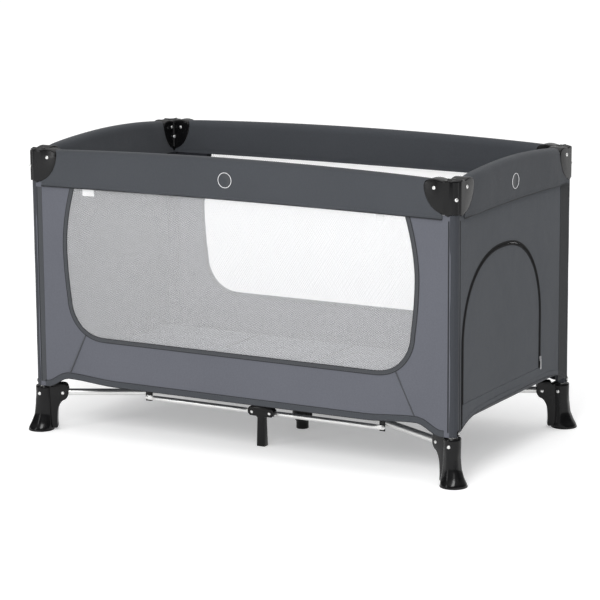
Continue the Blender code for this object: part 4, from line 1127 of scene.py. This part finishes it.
# ---------------------------------------------------------------- floor and mattress
def build_floor():
    """The cloth floor in five strips, each carried by the nearest moving piece of the base."""
    edge_y, edge_x = POST_Y + WALL_D - 0.001, POST_X + WALL_D - 0.001
    rows = ((-edge_y, -0.17, "corner_front_left", -POST_X), (-0.17, -0.085, "clip_front_left", -CLIP_POINT.x),
            (-0.085, 0.085, "hub", 0.0), (0.085, 0.17, "clip_rear_left", -CLIP_POINT.x),
            (0.17, edge_y, "corner_rear_left", -POST_X))
    for index, (low, high, body, anchor) in enumerate(rows):
        def column(u):
            limit = POST_Y - 0.018 if abs(u) > POST_X - 0.018 else edge_y
            return [min(max(y, -limit), limit) for y in spread(low, high, 12)]

        us = spread(-edge_x, edge_x, 60)
        us += [sx * (POST_X - 0.018 + e) for sx in (-1, 1) for e in (-0.0004, 0.0004)]
        us += [sx * x for sx in (-1, 1) for x in spread(MAT_END, edge_x, 5)[:-1]]

        def height(u, y):
            turn_up = smooth_step((abs(u) - MAT_END) / (edge_x - MAT_END))
            sink = 0.0009 * abs(noise.noise(Vector((u * 6, y * 6, 2))))
            return FLOOR_Z + CLOTH_T / 2 - sink + turn_up * (max(side_hem(y), FLOOR_Z) - FLOOR_Z)

        cloth = slab(sorted(set(us)), column, along_z, height)
        stands = ["floor_fabric"] if index == 0 else []
        strip_piece = piece(f"floor_cloth_{index + 1}", cloth, "floor", body, stands,
                            {"axis": (1, 0, 0), "anchor": (anchor, 0, 0), "keep": KEEP_X})


def mattress_panel():
    """One quilted panel, centred on the origin: its top is blown up by a short cloth simulation."""
    size = MAT_HIGH - MAT_LOW
    half_x, half_y, height = size.x / 2, size.y / 2, size.z - 0.0025
    mesh = bevelled(box((-half_x, -half_y, 0), (half_x, half_y, height)), 0.0050, 3)
    obj = temporary(mesh)
    remesh = obj.modifiers.new("Remesh", "REMESH")
    remesh.mode, remesh.voxel_size = "VOXEL", 0.006
    mesh = evaluated(obj)
    bpy.data.objects.remove(obj)
    obj = temporary(mesh)
    rest = np.array([v.co for v in mesh.vertices], float)
    channel_x = np.abs((rest[:, 0] / (2 * half_x / 3) + 0.5) % 1 - 0.5) * (2 * half_x / 3)
    channel_y = np.abs((rest[:, 1] / (2 * half_y / 6)) % 1 - 0.5)
    channel_y = np.abs(channel_y - 0.5) * (2 * half_y / 6)
    top = rest[:, 2] > height * 0.6
    border = np.minimum(half_x - np.abs(rest[:, 0]), half_y - np.abs(rest[:, 1])) < 0.007
    held = (~top) | border | (channel_x < 0.0035) | (channel_y < 0.0035)
    group = obj.vertex_groups.new(name="held")
    group.add([int(i) for i in np.flatnonzero(held)], 1.0, "REPLACE")
    cloth = obj.modifiers.new("Cloth", "CLOTH")
    cloth.settings.use_pressure, cloth.settings.uniform_pressure_force = True, 4.0
    cloth.settings.effector_weights.gravity = 0
    cloth.settings.vertex_group_mass = "held"
    cloth.settings.tension_stiffness, cloth.settings.compression_stiffness = 8, 8
    cloth.collision_settings.use_collision = False
    for number in range(1, 21):
        bpy.context.scene.frame_set(number)
    mesh = evaluated(obj)
    bpy.context.scene.frame_set(1)
    bpy.data.objects.remove(obj)
    now = np.array([v.co for v in mesh.vertices], float)
    moved = now - rest
    length = np.linalg.norm(moved, axis=1)
    cap = 0.006
    moved *= np.minimum(1, cap / np.maximum(length, 1e-9))[:, None]
    moved[:, 2] = np.where(top, moved[:, 2], 0)
    groove = np.exp(-((np.minimum(channel_x, channel_y) / 0.006) ** 2)) * top * (~border)
    final = rest + moved
    final[:, 2] -= 0.0022 * groove
    mesh.vertices.foreach_set("co", final.astype(np.float32).ravel())
    mesh.update()
    obj = temporary(mesh)
    smooth = obj.modifiers.new("Smooth", "SMOOTH")
    smooth.factor, smooth.iterations = 0.5, 3
    mesh = evaluated(obj)
    bpy.data.objects.remove(obj)
    return mesh


def build_mattress():
    panel = mattress_panel()
    width = MAT_HIGH.x - MAT_LOW.x
    depth = MAT_HIGH.y - MAT_LOW.y
    for index in range(4):
        low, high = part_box(f"mattress_panel_{index + 1}")
        centre = (low + high) / 2
        mesh = panel.copy()
        mesh.transform(Matrix.Translation((centre.x, centre.y, low.z)))
        pad = piece(f"mattress_pad_{index + 1}", mesh, "mattress", f"mattress_{index + 1}",
                    [f"mattress_panel_{index + 1}"], sharp=70)
        corners = []
        r, x, y = 0.012, width / 2 - 0.0012, depth / 2 - 0.0012
        for sx, sy, turn in ((1, 1, 0), (-1, 1, pi / 2), (-1, -1, pi), (1, -1, 3 * pi / 2)):
            corners += [(centre.x + sx * (x - r) + r * cos(turn + a), centre.y + sy * (y - r) + r * sin(turn + a))
                        for a in spread(0, pi / 2, 6)]
        loops = []
        for i, p in enumerate(corners):
            away = Vector((p[0] - centre.x, p[1] - centre.y))
            n = Vector((away.x / x**6 * abs(away.x) ** 4, away.y / y**6 * abs(away.y) ** 4)).normalized()
            loops.append([Vector((p[0] + n.x * 0.0014 * cos(b), p[1] + n.y * 0.0014 * cos(b),
                                  high.z - 0.0040 + 0.0014 * sin(b))) for b in spread(0, tau, 8)[:-1]])
        piece(f"mattress_piping_{index + 1}", loft(loops, closed=True), "tape", f"mattress_{index + 1}")


# ---------------------------------------------------------------- stage, light and camera
def build_world():
    """White behind the object, and round it a soft box: bright in front and above, dim at the two ends."""
    world = bpy.data.worlds.new("studio")
    bpy.context.scene.world = world
    world.use_nodes = True
    tree = world.node_tree
    direction = add_node(tree, "ShaderNodeTexCoord").outputs["Generated"]
    axes = add_node(tree, "ShaderNodeSeparateXYZ", {0: direction}).outputs
    ends = add_node(tree, "ShaderNodeMath", {0: axes["X"]}, operation="ABSOLUTE").outputs[0]
    total = 0.98
    for value, share in ((ends, -0.80), (axes["Y"], -0.10), (axes["Z"], 0.34)):
        total = add_node(tree, "ShaderNodeMath", {0: value, 1: share, 2: total}, operation="MULTIPLY_ADD").outputs[0]
    path = add_node(tree, "ShaderNodeLightPath").outputs
    above = add_node(tree, "ShaderNodeMath", {0: axes["Z"], 1: 3.0}, operation="POWER").outputs[0]
    mirror = add_node(tree, "ShaderNodeMath", {0: above, 1: 2.2, 2: 0.08}, operation="MULTIPLY_ADD").outputs[0]
    behind = add_node(tree, "ShaderNodeMath", {0: axes["Y"], 1: 0.0}, operation="MAXIMUM").outputs[0]
    behind = add_node(tree, "ShaderNodeMath", {0: behind, 1: 6.0}, operation="POWER").outputs[0]
    mirror = add_node(tree, "ShaderNodeMath", {0: behind, 1: 0.9, 2: mirror}, operation="MULTIPLY_ADD").outputs[0]
    shiny = add_node(tree, "ShaderNodeMix", {"Factor": path["Is Glossy Ray"], "A": total, "B": mirror}).outputs[0]
    strength = add_node(tree, "ShaderNodeMath", {0: path["Is Camera Ray"], 1: shiny}, operation="MAXIMUM").outputs[0]
    background = tree.nodes["Background"]
    background.inputs["Color"].default_value = (1, 1, 1, 1)
    tree.links.new(strength, background.inputs["Strength"])


def build_light(name, place, target, size, power):
    data = bpy.data.lights.new(name, "AREA")
    data.shape, data.size, data.size_y, data.energy = "RECTANGLE", size[0], size[1], power
    light = bpy.data.objects.new(name, data)
    bpy.context.scene.collection.objects.link(light)
    light.location = place
    light.rotation_euler = (Vector(target) - Vector(place)).to_track_quat("-Z", "Y").to_euler()


def build_stage():
    mesh = mesh_of([(-25, -25, 0), (25, -25, 0), (25, 25, 0), (-25, 25, 0)], [(0, 1, 2, 3)], turn=False)
    floor = bpy.data.objects.new("studio_floor", mesh)
    bpy.context.scene.collection.objects.link(floor)
    material, tree, shader = new_material("studio_floor", 0.6, Specular_IOR_Level=0.0,
                                          Emission_Color=(1, 1, 1, 1), Emission_Strength=0.32)
    shader.inputs["Base Color"].default_value = (0.88, 0.88, 0.88, 1)
    mesh.materials.append(material)
    build_world()
    build_light("key", (1.0, -3.2, 2.4), (0.35, 0, 0.3), (1.2, 1.2), 60)
    build_light("strip", (-2.6, -4.4, 1.4), (-0.2, 0, 0.3), (0.4, 2.4), 30)
    bpy.context.scene.view_settings.view_transform = "Standard"


def build_camera():
    yaw, pitch, roll = 0.512, 0.200, -0.007
    forward = Vector((-sin(yaw) * cos(pitch), cos(yaw) * cos(pitch), -sin(pitch)))
    right = Vector((cos(yaw), sin(yaw), 0))
    up = right.cross(forward)
    right, up = right * cos(roll) + up * sin(roll), up * cos(roll) - right * sin(roll)
    data = bpy.data.cameras.new("camera")
    data.lens, data.sensor_width = 154.5, 36.0
    camera = bpy.data.objects.new("camera", data)
    bpy.context.scene.collection.objects.link(camera)
    turn = Matrix((right, up, -forward)).transposed().to_4x4()
    camera.matrix_world = Matrix.Translation((3.218, -5.735, 1.676)) @ turn
    bpy.context.scene.camera = camera


# ---------------------------------------------------------------- the whole
build_camera()
build_frame()
build_long_walls()
build_short_walls()
build_sleeves()
build_covers()
build_badges()
build_floor()
build_mattress()
build_stage()
